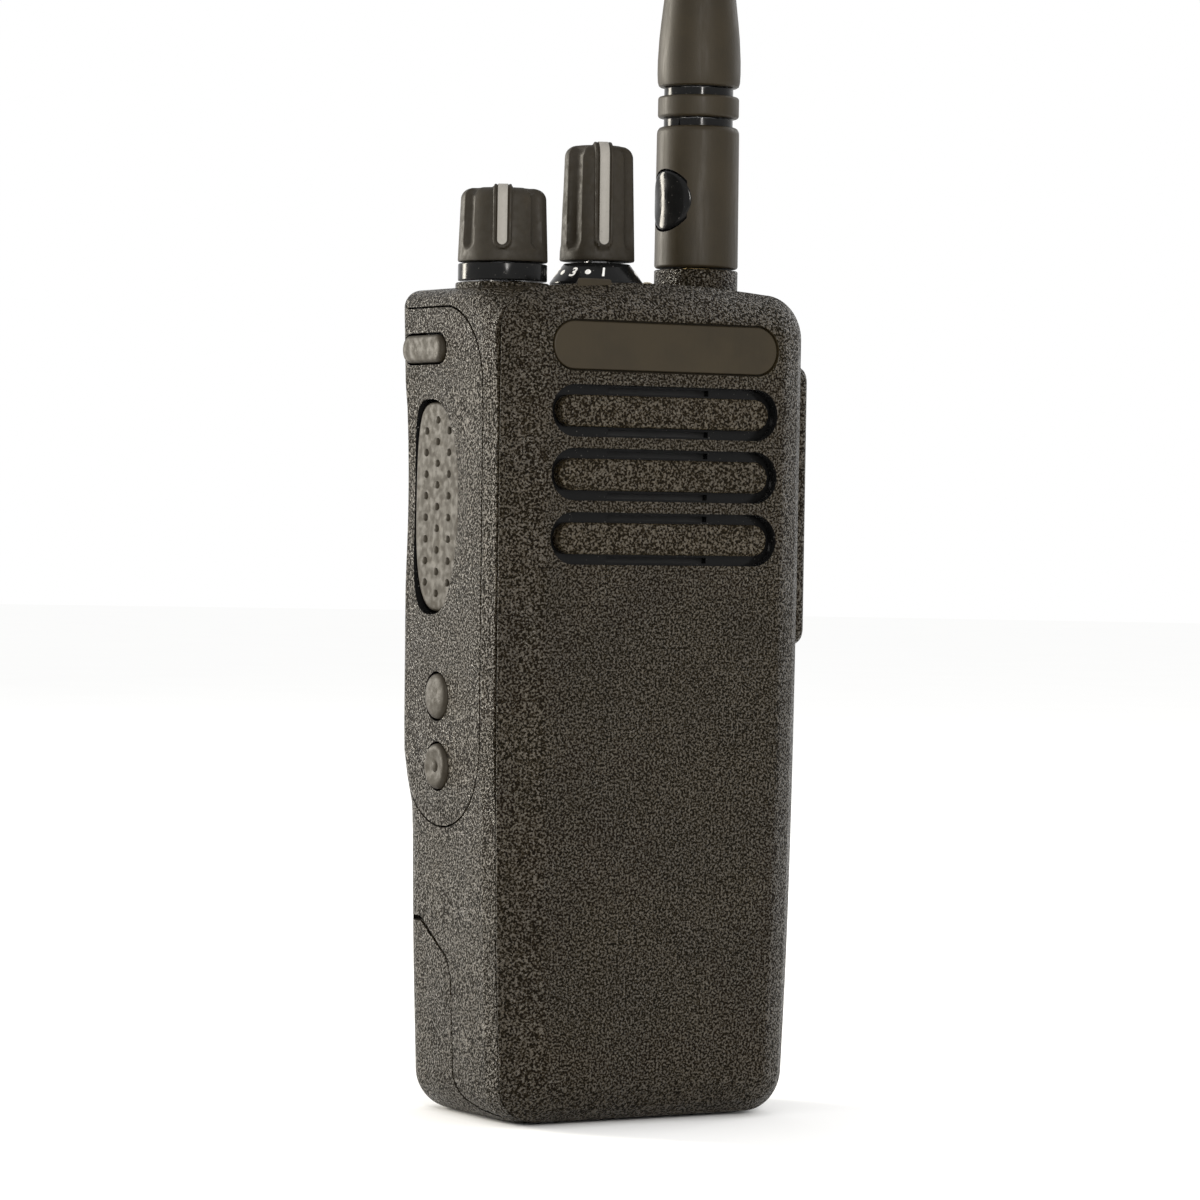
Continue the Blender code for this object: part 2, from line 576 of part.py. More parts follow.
def make_side_keys():
    talk = prism("push_to_talk_key", leaf(TALK_Y, TALK_Z, TALK_HALF_Y - 0.45, TALK_HALF_Z - 0.45), "X",
                 TALK_FACE_X, -24.5, "rubber")
    join(talk, prism("talk_flange", leaf(TALK_Y, TALK_Z, TALK_HALF_Y + 0.5, TALK_HALF_Z + 0.5), "X",
                     PLATE_INNER_X + GAP, KEY_REST_X))
    pivot("talk_axis", (KEY_REST_X, TALK_Y, TALK_Z), talk)
    for level, (y, z) in SIDE_KEYS.items():
        key = turned("side_key_" + level, [(0, 28.1), (2.9, 28.0), (3.55, 27.5), (3.55, 24.7), (4.3, 24.7),
                                           (4.3, 24.2), (0, 24.2)], (0, y, z), "rubber", (-1, 0, 0), 28)
        pivot("side_key_%s_axis" % level, (KEY_REST_X, y, z), key)
    top = prism("top_key", stadium(6.5, 4.3, TOP_KEY_Z, 9.3), "X", -28.65, -25.4, "rubber")
    join(top, box("top_key_stem", (-25.6, 4.5, 118.2), (KEY_REST_X, 10, 120.8)))
    pivot("top_key_axis", (KEY_REST_X, 9.3, TOP_KEY_Z), top)
    flex = box("side_key_flex", (-22.95, 1.5, 50.5), (-22.7, 7.5, 121.1), "paper")
    domes = [(4.5, TALK_Z), (5.2, TOP_KEY_Z - 0.3)] + list(SIDE_KEYS.values())
    for i, (y, z) in enumerate(domes):
        join(flex, drum("dome_%d" % i, 1.9, (-23.4, y, z), 0.6, (1, 0, 0), sides=14))


# ---- right flank --------------------------------------------------------------------------------

def make_accessory_port():
    port = box("accessory_connector", (24.75, -6.7, 84.3), (26.8, 2.7, 111.7), "smooth")
    cut(port, box("cut_contact_bed", (26.0, -4.2, 87), (28, 0.2, 109)))
    contacts = box("accessory_contacts", (26.3, -3.9, 87.3), (26.5, -0.1, 108.7), "brass")
    for i in range(6):
        z = 88.3 + 3.6 * i
        join(contacts, box("contact_pad_%d" % i, (26.4, -3.4, z), (27.1, -0.6, z + 1.8)))
    cover = box("accessory_cover", (27.9, -10.4, 73.8), (31.0, 5.0, 118.2), "grained", 1.3, 2)
    cut(cover,
        drum("cut_screw_recess", 3.8, (29.4, -2.75, 79.5), 3, (1, 0, 0), sides=24),
        drum("cut_screw_passage", 1.6, (26, -2.75, 79.5), 5, (1, 0, 0), sides=16))
    screw = turned("cover_screw", [(0, 31.0), (3.2, 31.0), (3.5, 30.7), (3.5, 29.7), (1.3, 29.7), (1.3, 26.7),
                                   (0, 26.7)], (0, -2.75, 79.5), "steel", (1, 0, 0), 24)
    cut(screw, box("cut_coin_slot", (30.2, -3.3, 75), (32, -2.2, 84)))
    pivot("cover_axis", (28.2, -2.75, 118.0), cover)
    pivot("cover_screw_axis", (31.0, -2.75, 79.5), screw)


# ---- battery ------------------------------------------------------------------------------------

def make_battery():
    case = envelope("battery_case", "grained")
    region = prism("battery_region", pack_outline(0), "X", -32, 32)
    join(region, box("battery_upper_region", (-PACK_HALF, PACK_FRONT_Y, 15), (PACK_HALF, 22, PACK_TOP)))
    combine(case, region, 'INTERSECT')
    cut(case,
        box("cut_cell_room", (-19.2, -1, 12), (19.2, 15.6, 105.5)),
        box("cut_latch_room", (-9.3, 3.2, -2), (9.3, 12, 4.4)),
        box("cut_latch_stem", (-5, -3, 4), (5, 8.7, 10.2)))
    cover = box("battery_inner_cover", (-18.9, 0.45, 12.3), (18.9, 1.6, 105.2), "smooth")
    cut(cover, box("cut_contact_window", (-7.6, -1, 95.6), (7.6, 3, 100.4)))
    left_cell = box("battery_cell_left", (-18.7, 2.0, 13), (-0.3, 15.2, 80), "cell", 1.5, 2)
    right_cell = box("battery_cell_right", (0.3, 2.0, 13), (18.7, 15.2, 80), "cell", 1.5, 2)
    board = box("battery_board", (-17, 3.2, 84), (17, 4.4, 104), "board")
    contacts = box("battery_contacts", (-7.2, 2.0, 95), (7.2, 2.8, 101), "brass")
    for x in (-6, -2, 2, 6):
        join(contacts, box("pack_pad_%d" % x, (x - 1, 0.6, 96), (x + 1, 2.2, 100)))
    latch = box("battery_latch", (-9, 3.6, 0.3), (9, 9.6, 4.1), "smooth", 0.3, 1)
    join(latch,
         box("latch_stem", (-4.4, 3.6, 3.5), (4.4, 6.2, 9.0)),
         box("latch_tooth", (-4.2, -2.9, 7.4), (4.2, 4.0, 8.8)))
    springs = []
    for side, x in (("left", -6.5), ("right", 6.5)):
        cut(latch, drum("cut_latch_bore_" + side, 1.6, (x, 7.2, 2.2), 4, (0, 1, 0), sides=14))
        springs.append(turned("latch_spring_" + side, [(1.2, -9.8), (1.2, -11.7), (0.7, -11.7), (0.7, -9.8)],
                              (x, 0, 2.2), "steel", (0, -1, 0), 14))
    pivot("latch_axis", (0, 3.6, 2.2), latch)
    pivot("battery_axis", (0, 0, 0), case, cover, left_cell, right_cell, board, contacts, *springs)


make_front_housing()
make_front_panel()
make_grille()
make_speaker()
make_chassis()
make_encoders()
make_controls()
make_antenna()
make_side_plate()
make_side_keys()
make_accessory_port()
make_battery()
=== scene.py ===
"""Looks of the handheld two-way radio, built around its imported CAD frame.

Lengths are in millimetres and each mesh is scaled to metres as it is made. X runs to the right, Y to the
back and Z up, as in the frame. The outer pieces repeat the CAD's own formulas at a finer step, with their
edges rounded; the inner pieces keep their CAD meshes and get materials.
"""

import math
from collections import namedtuple

import bmesh
import bpy
from mathutils import Matrix, Vector


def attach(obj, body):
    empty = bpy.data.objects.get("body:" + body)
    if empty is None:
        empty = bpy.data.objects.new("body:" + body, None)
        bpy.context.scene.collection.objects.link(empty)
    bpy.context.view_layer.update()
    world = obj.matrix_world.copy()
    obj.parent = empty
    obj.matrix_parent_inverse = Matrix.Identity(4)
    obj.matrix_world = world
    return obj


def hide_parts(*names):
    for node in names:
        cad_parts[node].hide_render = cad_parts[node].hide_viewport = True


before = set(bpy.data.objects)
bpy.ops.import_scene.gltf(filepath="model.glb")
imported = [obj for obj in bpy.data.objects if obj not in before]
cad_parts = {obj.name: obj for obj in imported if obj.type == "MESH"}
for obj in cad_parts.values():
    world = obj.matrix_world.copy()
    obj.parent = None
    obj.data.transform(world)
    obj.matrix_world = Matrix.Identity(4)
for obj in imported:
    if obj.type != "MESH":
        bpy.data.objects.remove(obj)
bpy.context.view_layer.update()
SCENE = bpy.context.scene

MM = 0.001
GAP = 0.3  # clearance between pieces
SMOOTH_ANGLE = 32  # degrees between faces that are still shaded as one surface

# Body
HEIGHT = 129.7
FACE_Y = -18.0
PANEL_BASE_Y = -13.2
SHELL_FRONT_Y = -12.9
BACK_Y = 17.4
TOP_ARCH = 0.0026  # drop of the panel's top edge, times x squared
TOP_CORNER = 7.0
REAR_ARCH = 0.0012  # the shell's top is flatter and squarer behind the panel
REAR_TOP_CORNER = 2.8
SHOULDER_REAR_Y = -5.0
BOTTOM_CORNER = 6.5
ARC_STEPS = 14
SIDE_LEVELS = [15 + 4.15 * i for i in range(25)]
CHEEK = ((-12.9, 0.80), (-10.1, 0.15), (-9.9, 0.12), (-5.8, 0.0))  # inset of the flanks at y
CHEEK_LEVELS = (-12.9, -12.87, -12.8, -12.65, -11.9, -11.0, -10.3, -10.1, -9.9, -9.4, -8.4, -7.4, -6.2,
                -5.6, SHOULDER_REAR_Y)
OUTSIDE_X = 32  # beyond both flanks, where cutters start
BEHIND_Y = 22.0  # beyond the back
PLATE_TONGUE, PACK_TONGUE = 0.22, 0.75  # rise at the rear corner that shuts the view through a seam

# Top controls
CONTROL_Y = 0.5
VOLUME_X = -19.1
CHANNEL_X = -2.2
ANTENNA_X = 16.0
VOLUME_POINTER = 240  # degrees anticlockwise from +X
CHANNEL_POINTER = 250
CHANNEL_COUNT = 16
PRINTED_MARKS = 14  # the dial's last places are left blank
FLUTE_PLACES = 7  # round a knob, one of them taken by the pointer
SEAT_RADIUS, SEAT_TOP = 7.3, 129.75
BOSS_RADIUS, BOSS_TOP = 6.65, 133.1
FOOT_EDGE = 0.25  # height of the rounding under a knob's side
LENS_X = 7.0
DIAL_FOOT, DIAL_HEAD, DIAL_FOOT_Z, DIAL_HEAD_Z = 7.4, 5.2, 130.4, 133.4
MARK_HEIGHT, MARK_SUNK = 0.12, 0.07
Knob = namedtuple("Knob", "kind x low high foot head edge pointer flute_half")
KNOBS = (Knob("volume", VOLUME_X, 133.0, 144.4, 7.0, 6.65, 1.7, VOLUME_POINTER, 1.25),
         Knob("channel", CHANNEL_X, 133.8, 151.9, 5.9, 5.45, 1.9, CHANNEL_POINTER, 1.45))

# Front
GRILLE_LEVELS = {"upper": 109.9, "middle": 100.15, "lower": 90.35}
SLOT_HALF, SLOT_HEIGHT = 20.2, 8.0
BAR_HALF, BAR_HEIGHT = 18.6, 4.85
NAME_HALF, NAME_HEIGHT, NAME_Z = 20.3, 7.95, 119.9
INDEX_TILE = (-11.0, -13.5, 129.75)
NAME_BED, SLOT_BED, BEFORE_FACE = 16.9, 15, 20  # depths measured forwards from the middle

# Left flank
PLATE_INNER_X = -25.0
TALK_Y, TALK_Z, TALK_HALF_Y, TALK_HALF_Z = 6.9, 94.9, 7.8, 16.8
TALK_LEAN = 1.6  # how far the talk key's tip leans to the back
TALK_FACE_X = 26.6
THUMB_HOLLOW = ((-36.3, 11.0, 96.2), (10.0, 31.5, 37.2))  # centre and radii
SIDE_KEYS = {"upper": (4.4, 65.4), "lower": (4.2, 54.5)}
TOP_KEY_Y, TOP_KEY_Z = 9.3, 119.5
KEY_REST_X = -24.2

# Right flank
COVER_LOW, COVER_HIGH = (27.9, -10.4, 73.8), (31.0, 5.0, 118.2)
SCREW_Y, SCREW_Z = -2.75, 79.5

# Battery
WELL_HALF, PACK_HALF, PACK_FRONT_Y, PACK_TOP = 21.2, 20.9, 0.3, 107.5

# Antenna
MAST_FOOT = 133.4
BAND_LOW, BAND_HIGH = 157.3, 160.7
WHIP_LOW, WHIP_TOP = 162.2, 280.0
BADGE_FACING, BADGE_Z, BADGE_RADIUS = 187, 144.0, 4.7

# View
VIEW_TARGET = (-8.58, -13.23, 80.87)
VIEW_DISTANCE, VIEW_TURN, VIEW_PITCH, VIEW_ROLL = 730, 30.0, -0.97, 0.917
VIEW_LENS = 141.9

# Studio: name, place, size, watts and colour of each light
LIGHTS = (("key_left", (-600, 830, 240), (240, 600), 15, (1.0, 0.94, 0.82)),
          ("glint_front", (-300, -900, 330), (60, 220), 4.5, (1.0, 0.97, 0.93)),
          ("fill_right", (800, 200, 500), (300, 500), 1.5, (1.0, 1.0, 1.0)))
LIGHT_AIM = (0, 0, 75)
FLOOR_RADIUS = 4000


# ---- materials ----

class Shader:
    """A small helper that adds nodes and links them by value."""

    def __init__(self, name):
        self.material = bpy.data.materials.new(name)
        self.material.use_nodes = True
        self.tree = self.material.node_tree
        self.surface = self.tree.nodes["Principled BSDF"]
        self.place = self.node("TexCoord").outputs["Object"]

    def node(self, kind, **values):
        """A new node with some of its inputs set."""
        node = self.tree.nodes.new("ShaderNode" + kind)
        for key, value in values.items():
            node.inputs[key].default_value = value
        return node

    def link(self, source, target):
        self.tree.links.new(source, target)

    def set(self, **values):
        for key, value in values.items():
            self.surface.inputs[key.replace("_", " ")].default_value = value

    def noise(self, size, detail=2.0, roughness=0.5, distortion=0.0, place=None):
        """Noise whose features measure about `size` millimetres."""
        node = self.node("TexNoise", Scale=1.0 / (size * MM), Detail=detail, Roughness=roughness,
                         Distortion=distortion)
        self.link(place or self.place, node.inputs["Vector"])
        return node.outputs["Fac"]

    def cells(self, size, feature='F1'):
        node = self.node("TexVoronoi", Scale=1.0 / (size * MM))
        node.feature = feature
        self.link(self.place, node.inputs["Vector"])
        return node.outputs["Distance"]

    def remap(self, value, low, high, new_low=0.0, new_high=1.0):
        node = self.node("MapRange")
        node.interpolation_type = 'SMOOTHSTEP'
        for index, number in ((1, low), (2, high), (3, new_low), (4, new_high)):
            node.inputs[index].default_value = number
        self.link(value, node.inputs[0])
        return node.outputs[0]

    def maths(self, operation, first, second):
        node = self.node("Math")
        node.operation = operation
        for socket, value in zip(node.inputs, (first, second)):
            if isinstance(value, (int, float)):
                socket.default_value = value
            else:
                self.link(value, socket)
        return node.outputs[0]

    def mix(self, factor, first, second):
        node = self.node("Mix")
        node.data_type = 'RGBA'
        self.link(factor, node.inputs["Factor"])
        for socket, colour in ((node.inputs[6], first), (node.inputs[7], second)):
            if isinstance(colour, (tuple, list)):
                socket.default_value = (*colour, 1.0)
            else:
                self.link(colour, socket)
        return node.outputs[2]

    def stretch(self, scale):
        node = self.node("Mapping", Scale=scale)
        self.link(self.place, node.inputs["Vector"])
        return node.outputs["Vector"]

    def bump(self, height, depth, below=None):
        """Relief of `depth` millimetres, on top of an earlier relief."""
        node = self.node("Bump", Distance=depth * MM)
        self.link(height, node.inputs["Height"])
        if below is not None:
            self.link(below, node.inputs["Normal"])
        return node.outputs["Normal"]

    def colour(self, value):
        self.link(value, self.surface.inputs["Base Color"])

    def roughness(self, value, low, high):
        """Let the roughness follow a noise, between two values."""
        self.link(self.remap(value, 0.3, 0.7, low, high), self.surface.inputs["Roughness"])

    def relief(self, height, depth, below=None):
        self.link(self.bump(height, depth, below), self.surface.inputs["Normal"])


def shaded(colour, factor):
    """A colour made lighter or darker."""
    return tuple(channel * factor for channel in colour)


def grained_plastic(name, colour):
    """Spark-eroded moulding: packed worm-like grains that catch the light, over brownish clouds; the grain's
    pits carry painted shade and its tops painted highlight.
    """
    grain, depth, roughness = 0.34, 0.16, 0.37
    shader = Shader(name)
    grain_and_pit_shade = shader.remap(shader.noise(grain, 1.0, 0.5, 0.3), 0.34, 0.68)
    shader.link(shader.remap(grain_and_pit_shade, 0.2, 1.0, 0.03, 0.60), shader.surface.inputs["Specular IOR Level"])
    pits = shader.remap(shader.noise(grain * 0.45, 1.0), 0.3, 0.7)
    clouds = shader.remap(shader.noise(16, 3.0, 0.6), 0.35, 0.65)
    clouds_and_peak_highlight = shader.mix(clouds, shaded(colour, 1.6), shaded(colour, 1.95))
    # colour follows the grain's height: pits darkened as painted shade, tops lightened as painted highlight,
    # over random brownish clouds
    shader.colour(shader.mix(grain_and_pit_shade, shaded(colour, 0.2), clouds_and_peak_highlight))
    rub = shader.remap(shader.noise(9, 2.0), 0.3, 0.7, roughness - 0.06, roughness + 0.08)
    polish = shader.remap(grain_and_pit_shade, 0.5, 1.0, 0.0, 0.08)
    shader.link(shader.maths('SUBTRACT', rub, polish), shader.surface.inputs["Roughness"])
    shader.relief(pits, depth * 0.35, shader.bump(grain_and_pit_shade, depth))
    return shader.material


def smooth_plastic(name, colour, roughness=0.5, fine=0.012):
    """Fine satin moulding with a whisper of texture and handling marks."""
    shader = Shader(name)
    shader.set(Specular_IOR_Level=0.22)
    clouds = shader.remap(shader.noise(8, 3.0, 0.6), 0.35, 0.65)
    shader.colour(shader.mix(clouds, shaded(colour, 0.9), shaded(colour, 1.1)))
    streaks = shader.noise(1.0, 3.0, 0.7, 0.0, shader.stretch((1.0, 1.0, 0.12)))
    shader.roughness(streaks, roughness - 0.07, roughness + 0.07)
    shader.relief(shader.noise(0.22, 2.0, 0.6), fine)
    return shader.material


def rubber(name, colour):
    """Soft-touch rubber: matte, with pale dust in its dry patches."""
    shader = Shader(name)
    shader.set(Specular_IOR_Level=0.3)
    dust = shader.remap(shader.noise(2.6, 4.0, 0.7), 0.5, 0.72)
    shader.colour(shader.mix(dust, colour, shaded(colour, 1.25)))
    shader.roughness(shader.noise(1.2, 3.0), 0.52, 0.72)
    shader.relief(shader.noise(0.3, 3.0, 0.65), 0.02)
    return shader.material


def glossy(name, colour):
    """Polished black with faint dust specks and orange peel."""
    shader = Shader(name)
    shader.set(Specular_IOR_Level=0.12)
    specks = shader.remap(shader.noise(0.35, 1.0), 0.72, 0.78)
    shader.colour(shader.mix(specks, colour, (0.10, 0.095, 0.085)))
    shader.roughness(shader.noise(1.5, 3.0), 0.10, 0.22)
    shader.relief(shader.noise(2.5, 1.0), 0.006)
    return shader.material


def paint(name, colour):
    """Matte paint, a little worn."""
    shader = Shader(name)
    shader.set(Specular_IOR_Level=0.35)
    wear = shader.remap(shader.noise(0.8, 4.0, 0.7), 0.55, 0.75)
    shader.colour(shader.mix(wear, colour, shaded(colour, 0.82)))
    shader.roughness(shader.noise(0.5, 2.0), 0.47, 0.63)
    shader.relief(shader.noise(0.18, 2.0), 0.008)
    return shader.material


def metal(name, colour, roughness, brush=(1.0, 1.0, 0.06), depth=0.008):
    """Brushed or plated metal with a faint direction in its polish."""
    shader = Shader(name)
    shader.set(Metallic=1.0)
    grain = shader.noise(0.4, 3.0, 0.6, 0.0, shader.stretch(brush))
    stain = shader.remap(shader.noise(5, 3.0, 0.6), 0.4, 0.7)
    shader.colour(shader.mix(stain, colour, shaded(colour, 0.8)))
    shader.roughness(grain, roughness - 0.08, roughness + 0.12)
    shader.relief(grain, depth)
    return shader.material


def circuit_green(name):
    """Solder mask with buried tracks and pale pads."""
    shader = Shader(name)
    tracks = shader.remap(shader.cells(2.4, 'DISTANCE_TO_EDGE'), 0.05, 0.09)
    pads = shader.remap(shader.cells(1.3), 0.16, 0.2)
    mask = shader.mix(tracks, (0.035, 0.16, 0.07), (0.012, 0.07, 0.03))
    shader.colour(shader.mix(pads, (0.5, 0.42, 0.24), mask))
    shader.roughness(shader.noise(2), 0.28, 0.42)
    shader.relief(tracks, 0.03)
    return shader.material


def lens(name):
    shader = Shader(name)
    shader.set(Transmission_Weight=0.35, IOR=1.49)
    shader.colour(shader.mix(shader.noise(0.6, 2.0), (0.42, 0.34, 0.2), (0.62, 0.54, 0.38)))
    shader.roughness(shader.noise(0.4), 0.14, 0.3)
    shader.relief(shader.noise(0.3), 0.01)
    return shader.material


PLASTIC = (0.0205, 0.0148, 0.0066)
SHELL = grained_plastic("shell_grain", PLASTIC)
BAR = grained_plastic("bar_grain", shaded(PLASTIC, 1.25))
SMOOTH = smooth_plastic("smooth_moulding", shaded(PLASTIC, 1.1), 0.5)
ANTENNA = smooth_plastic("antenna_skin", shaded(PLASTIC, 0.95), 0.5, 0.02)
RUBBER = rubber("knob_rubber", shaded(PLASTIC, 0.7))
KEY = rubber("key_rubber", shaded(PLASTIC, 0.85))
GLOSS = glossy("black_gloss", (0.006, 0.006, 0.006))
POINTER = paint("pointer_paint", (0.245, 0.23, 0.205))
PRINT = paint("dial_print", (0.80, 0.79, 0.76))
LENS = lens("amber_lens")
BOARD = circuit_green("solder_mask")
CELL = smooth_plastic("cell_sleeve", (0.05, 0.09, 0.20), 0.4)
FILM = smooth_plastic("black_film", (0.03, 0.03, 0.03), 0.75)
ALUMINIUM = metal("cast_aluminium", (0.52, 0.52, 0.53), 0.42, (1.0, 1.0, 1.0), 0.03)
STEEL = metal("plated_steel", (0.50, 0.50, 0.51), 0.3)
BRASS = metal("brass", (0.72, 0.52, 0.24), 0.28)


# ---- mesh tools ----

AXES = {
    "Z": lambda a, b, h: (a, b, h),
    "X": lambda a, b, h: (h, a, b),
    "-X": lambda a, b, h: (-h, a, b),
    "-Y": lambda a, b, h: (a, -h, b),
}


def to_object(name, bm, material=None, smooth=SMOOTH_ANGLE):
    """Close a bmesh off as an object in metres, with its normals outward."""
    bmesh.ops.recalc_face_normals(bm, faces=bm.faces)
    bmesh.ops.scale(bm, vec=(MM, MM, MM), verts=bm.verts)
    mesh = bpy.data.meshes.new(name)
    bm.to_mesh(mesh)
    bm.free()
    obj = bpy.data.objects.new(name, mesh)
    SCENE.collection.objects.link(obj)
    if material:
        mesh.materials.append(material)
    shade(obj, smooth)
    return obj


def shade(obj, smooth=SMOOTH_ANGLE):
    obj.data.shade_smooth()
    obj.data.set_sharp_from_angle(angle=math.radians(smooth))


def turns(count):
    """Angles evenly round a circle."""
    return [2 * math.pi * step / count for step in range(count)]


def skin(bm, rings, around):
    """Join rings of points into a surface. A ring of one point closes as a fan."""
    rows = [[bm.verts.new(point) for point in ring] for ring in rings]
    if around:
        rows.append(rows[0])
    for lower, upper in zip(rows, rows[1:]):
        count = max(len(lower), len(upper))
        for i in range(count):
            j = (i + 1) % count
            corners = [lower[i % len(lower)], lower[j % len(lower)],
                       upper[j % len(upper)], upper[i % len(upper)]]
            unique = [corner for k, corner in enumerate(corners) if corner not in corners[:k]]
            if len(unique) > 2:
                bm.faces.new(unique)
    if not around:
        for row in (rows[0], rows[-1]):
            if len(row) > 2:
                bm.faces.new(row)


def loft(name, rings, material=None, smooth=SMOOTH_ANGLE):
    bm = bmesh.new()
    skin(bm, rings, around=False)
    return to_object(name, bm, material, smooth)


def spin(name, profile, centre=(0.0, 0.0), axis="Z", material=None, steps=96, smooth=SMOOTH_ANGLE):
    """Turn a (radius, height) profile about an axis. It ends on the axis, or joins up with its start."""
    place = AXES[axis]
    rings = []
    for radius, height in profile:
        if radius == 0:
            rings.append([place(*centre, height)])
        else:
            rings.append([place(centre[0] + radius * math.cos(angle),
                                centre[1] + radius * math.sin(angle), height) for angle in turns(steps)])
    bm = bmesh.new()
    skin(bm, rings, around=profile[0][0] > 0)
    return to_object(name, bm, material, smooth)


def post(radius, low, high):
    """The profile of a plain round post, for spin."""
    return [(0, high), (radius, high), (radius, low), (0, low)]


def slab(name, outline, levels, axis, material=None):
    """Stack an outline, called with its inset, at (height, inset) levels."""
    place = AXES[axis]
    return loft(name, [[place(a, b, height) for a, b in outline(inset)] for height, inset in levels],
                material)


def block(name, low, high, material=None):
    bm = bmesh.new()
    bmesh.ops.create_cube(bm, size=1.0)
    bmesh.ops.scale(bm, vec=[b - a for a, b in zip(low, high)], verts=bm.verts)
    bmesh.ops.translate(bm, vec=[(a + b) / 2 for a, b in zip(low, high)], verts=bm.verts)
    return to_object(name, bm, material)


def prism(name, outline, axis, low, high, material=None):
    place = AXES[axis]
    return loft(name, [[place(a, b, height) for a, b in outline] for height in (low, high)], material)


def fillet(points, radius, steps=5, closed=False):
    """Round the corners of an outline, by at most `radius`."""
    result = []
    count = len(points)
    for i, point in enumerate(points):
        corner = Vector(point)
        if not closed and i in (0, count - 1):
            result.append(tuple(corner))
            continue
        before, after = Vector(points[i - 1]) - corner, Vector(points[(i + 1) % count]) - corner
        reach = min(radius, 0.48 * before.length, 0.48 * after.length)
        start, end = corner + before.normalized() * reach, corner + after.normalized() * reach
        for step in range(steps + 1):
            t = step / steps
            result.append(tuple(start * (1 - t) ** 2 + corner * 2 * t * (1 - t) + end * t * t))
    return result


def bake(obj):
    """Apply every modifier and drop the cutters that were used."""
    bpy.context.view_layer.update()
    cutters = [m.object for m in obj.modifiers if m.type == 'BOOLEAN']
    depsgraph = bpy.context.evaluated_depsgraph_get()
    mesh = bpy.data.meshes.new_from_object(obj.evaluated_get(depsgraph))
    obj.modifiers.clear()
    obj.data = mesh
    for cutter in cutters:
        bpy.data.objects.remove(cutter, do_unlink=True)


def carve(obj, cutters, operation='DIFFERENCE'):
    for cutter in cutters:
        boolean = obj.modifiers.new("carve", 'BOOLEAN')
        boolean.operation = operation
        boolean.object = cutter
        boolean.solver = 'EXACT'
        boolean.material_mode = 'TRANSFER'
    bake(obj)


def soften(obj, width, angle=42, segments=2):
    """Round the sharp edges and shade the result."""
    bevel = obj.modifiers.new("soften", 'BEVEL')
    bevel.width = width * MM
    bevel.segments = segments
    bevel.limit_method = 'ANGLE'
    bevel.angle_limit = math.radians(angle)
    bevel.harden_normals = False
    bake(obj)
    shade(obj)


def dress(obj, body, slot, *nodes):
    """Put a finished piece on its body in place of its CAD nodes."""
    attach(obj, body)
    if nodes:
        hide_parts(*nodes)


def merge(target, others):
    """Join separate closed forms into one piece."""
    bm = bmesh.new()
    bm.from_mesh(target.data)
    for other in others:
        bm.from_mesh(other.data)
        bpy.data.objects.remove(other, do_unlink=True)
    bm.to_mesh(target.data)
    bm.free()


def ease(value, low, high):
    """A smooth step from 0 at `low` to 1 at `high`."""
    t = min(max((value - low) / (high - low), 0.0), 1.0)
    return t * t * (3 - 2 * t)


def stadium(half, height, centre_a, centre_b):
    """A flat-sided outline with half-round ends, as a function of its inset."""
    steps = 24

    def outline(inset=0.0):
        radius = height / 2 - inset
        points = []
        for side, start in ((1, -90), (-1, 90)):
            for step in range(steps + 1):
                angle = math.radians(start + 180 * step / steps)
                points.append((centre_a + side * (half - height / 2) + radius * math.cos(angle),
                               centre_b + radius * math.sin(angle)))
        return points
    return outline


def leaf(half_y, half_z):
    """Outline of the talk key: a superellipse, as a function of its inset."""
    power = 2.7

    def outline(inset=0.0):
        points = []
        for angle in turns(144):
            c, s = math.cos(angle), math.sin(angle)
            up = math.copysign(abs(s) ** (2 / power), s)
            points.append((TALK_Y + (half_y - inset) * math.copysign(abs(c) ** (2 / power), c)
                           + TALK_LEAN * max(up, 0.0) ** 3, TALK_Z + (half_z - inset) * up))
        return points
    return outline


def rectangle(low, high, corner):
    """A round-cornered rectangle, as a function of its inset."""
    steps = 8

    def outline(inset=0.0):
        radius = max(corner - inset, 0.05)
        points = []
        for (a, b), start in (((high[0], high[1]), 0), ((low[0], high[1]), 90),
                              ((low[0], low[1]), 180), ((high[0], low[1]), 270)):
            centre_a = a + (corner if a == low[0] else -corner)
            centre_b = b + (corner if b == low[1] else -corner)
            for step in range(steps + 1):
                angle = math.radians(start + 90 * step / steps)
                points.append((centre_a + radius * math.cos(angle), centre_b + radius * math.sin(angle)))
        return points
    return outline


# ---- envelope ----

def panel_half(z):
    """Half width of the front panel at a height."""
    return 27.05 - 2.2 * math.exp(-max(z, 8.0) / 30.0)


def right_half(z):
    """Reach of the shell's right flank."""
    return panel_half(z) + 0.4 + 0.3 * ease(z, 47, 54)


def left_half(z):
    """Reach of the shell's left flank."""
    return right_half(z) + 0.5 * ease(z, 112, 119)


def rear_radius(z):
    """Radius of the long edges at the back."""
    return 6.2 - 3.2 * ease(z, 46, 58) - 0.8 * ease(z, 108, 116)


def half_outline(half_width, low, high, top_corner, arch):
    """Right half of the front view, bottom centre to top centre: x, z and the outward direction."""
    foot_x, foot_z = half_width(low + BOTTOM_CORNER) - BOTTOM_CORNER, low + BOTTOM_CORNER
    head_x = half_width(high - top_corner) - top_corner
    head_z = high - arch * head_x ** 2 - top_corner
    points = [(0.0, low, 0.0, -1.0), (10.0, low, 0.0, -1.0)]
    for x, z, radius, start in ((foot_x, foot_z, BOTTOM_CORNER, -90), (head_x, head_z, top_corner, 0)):
        for step in range(ARC_STEPS + 1):
            angle = math.radians(start + 90 * step / ARC_STEPS)
            c, s = math.cos(angle), math.sin(angle)
            points.append((x + radius * c, z + radius * s, c, s))
        if start < 0:
            points += [(half_width(level), level, 1.0, 0.0) for level in SIDE_LEVELS]
    points += [(x, high - arch * x * x, 0.0, 1.0) for x in (17.5, 14.0, 10.5, 7.0, 3.5, 0.0)]
    return points


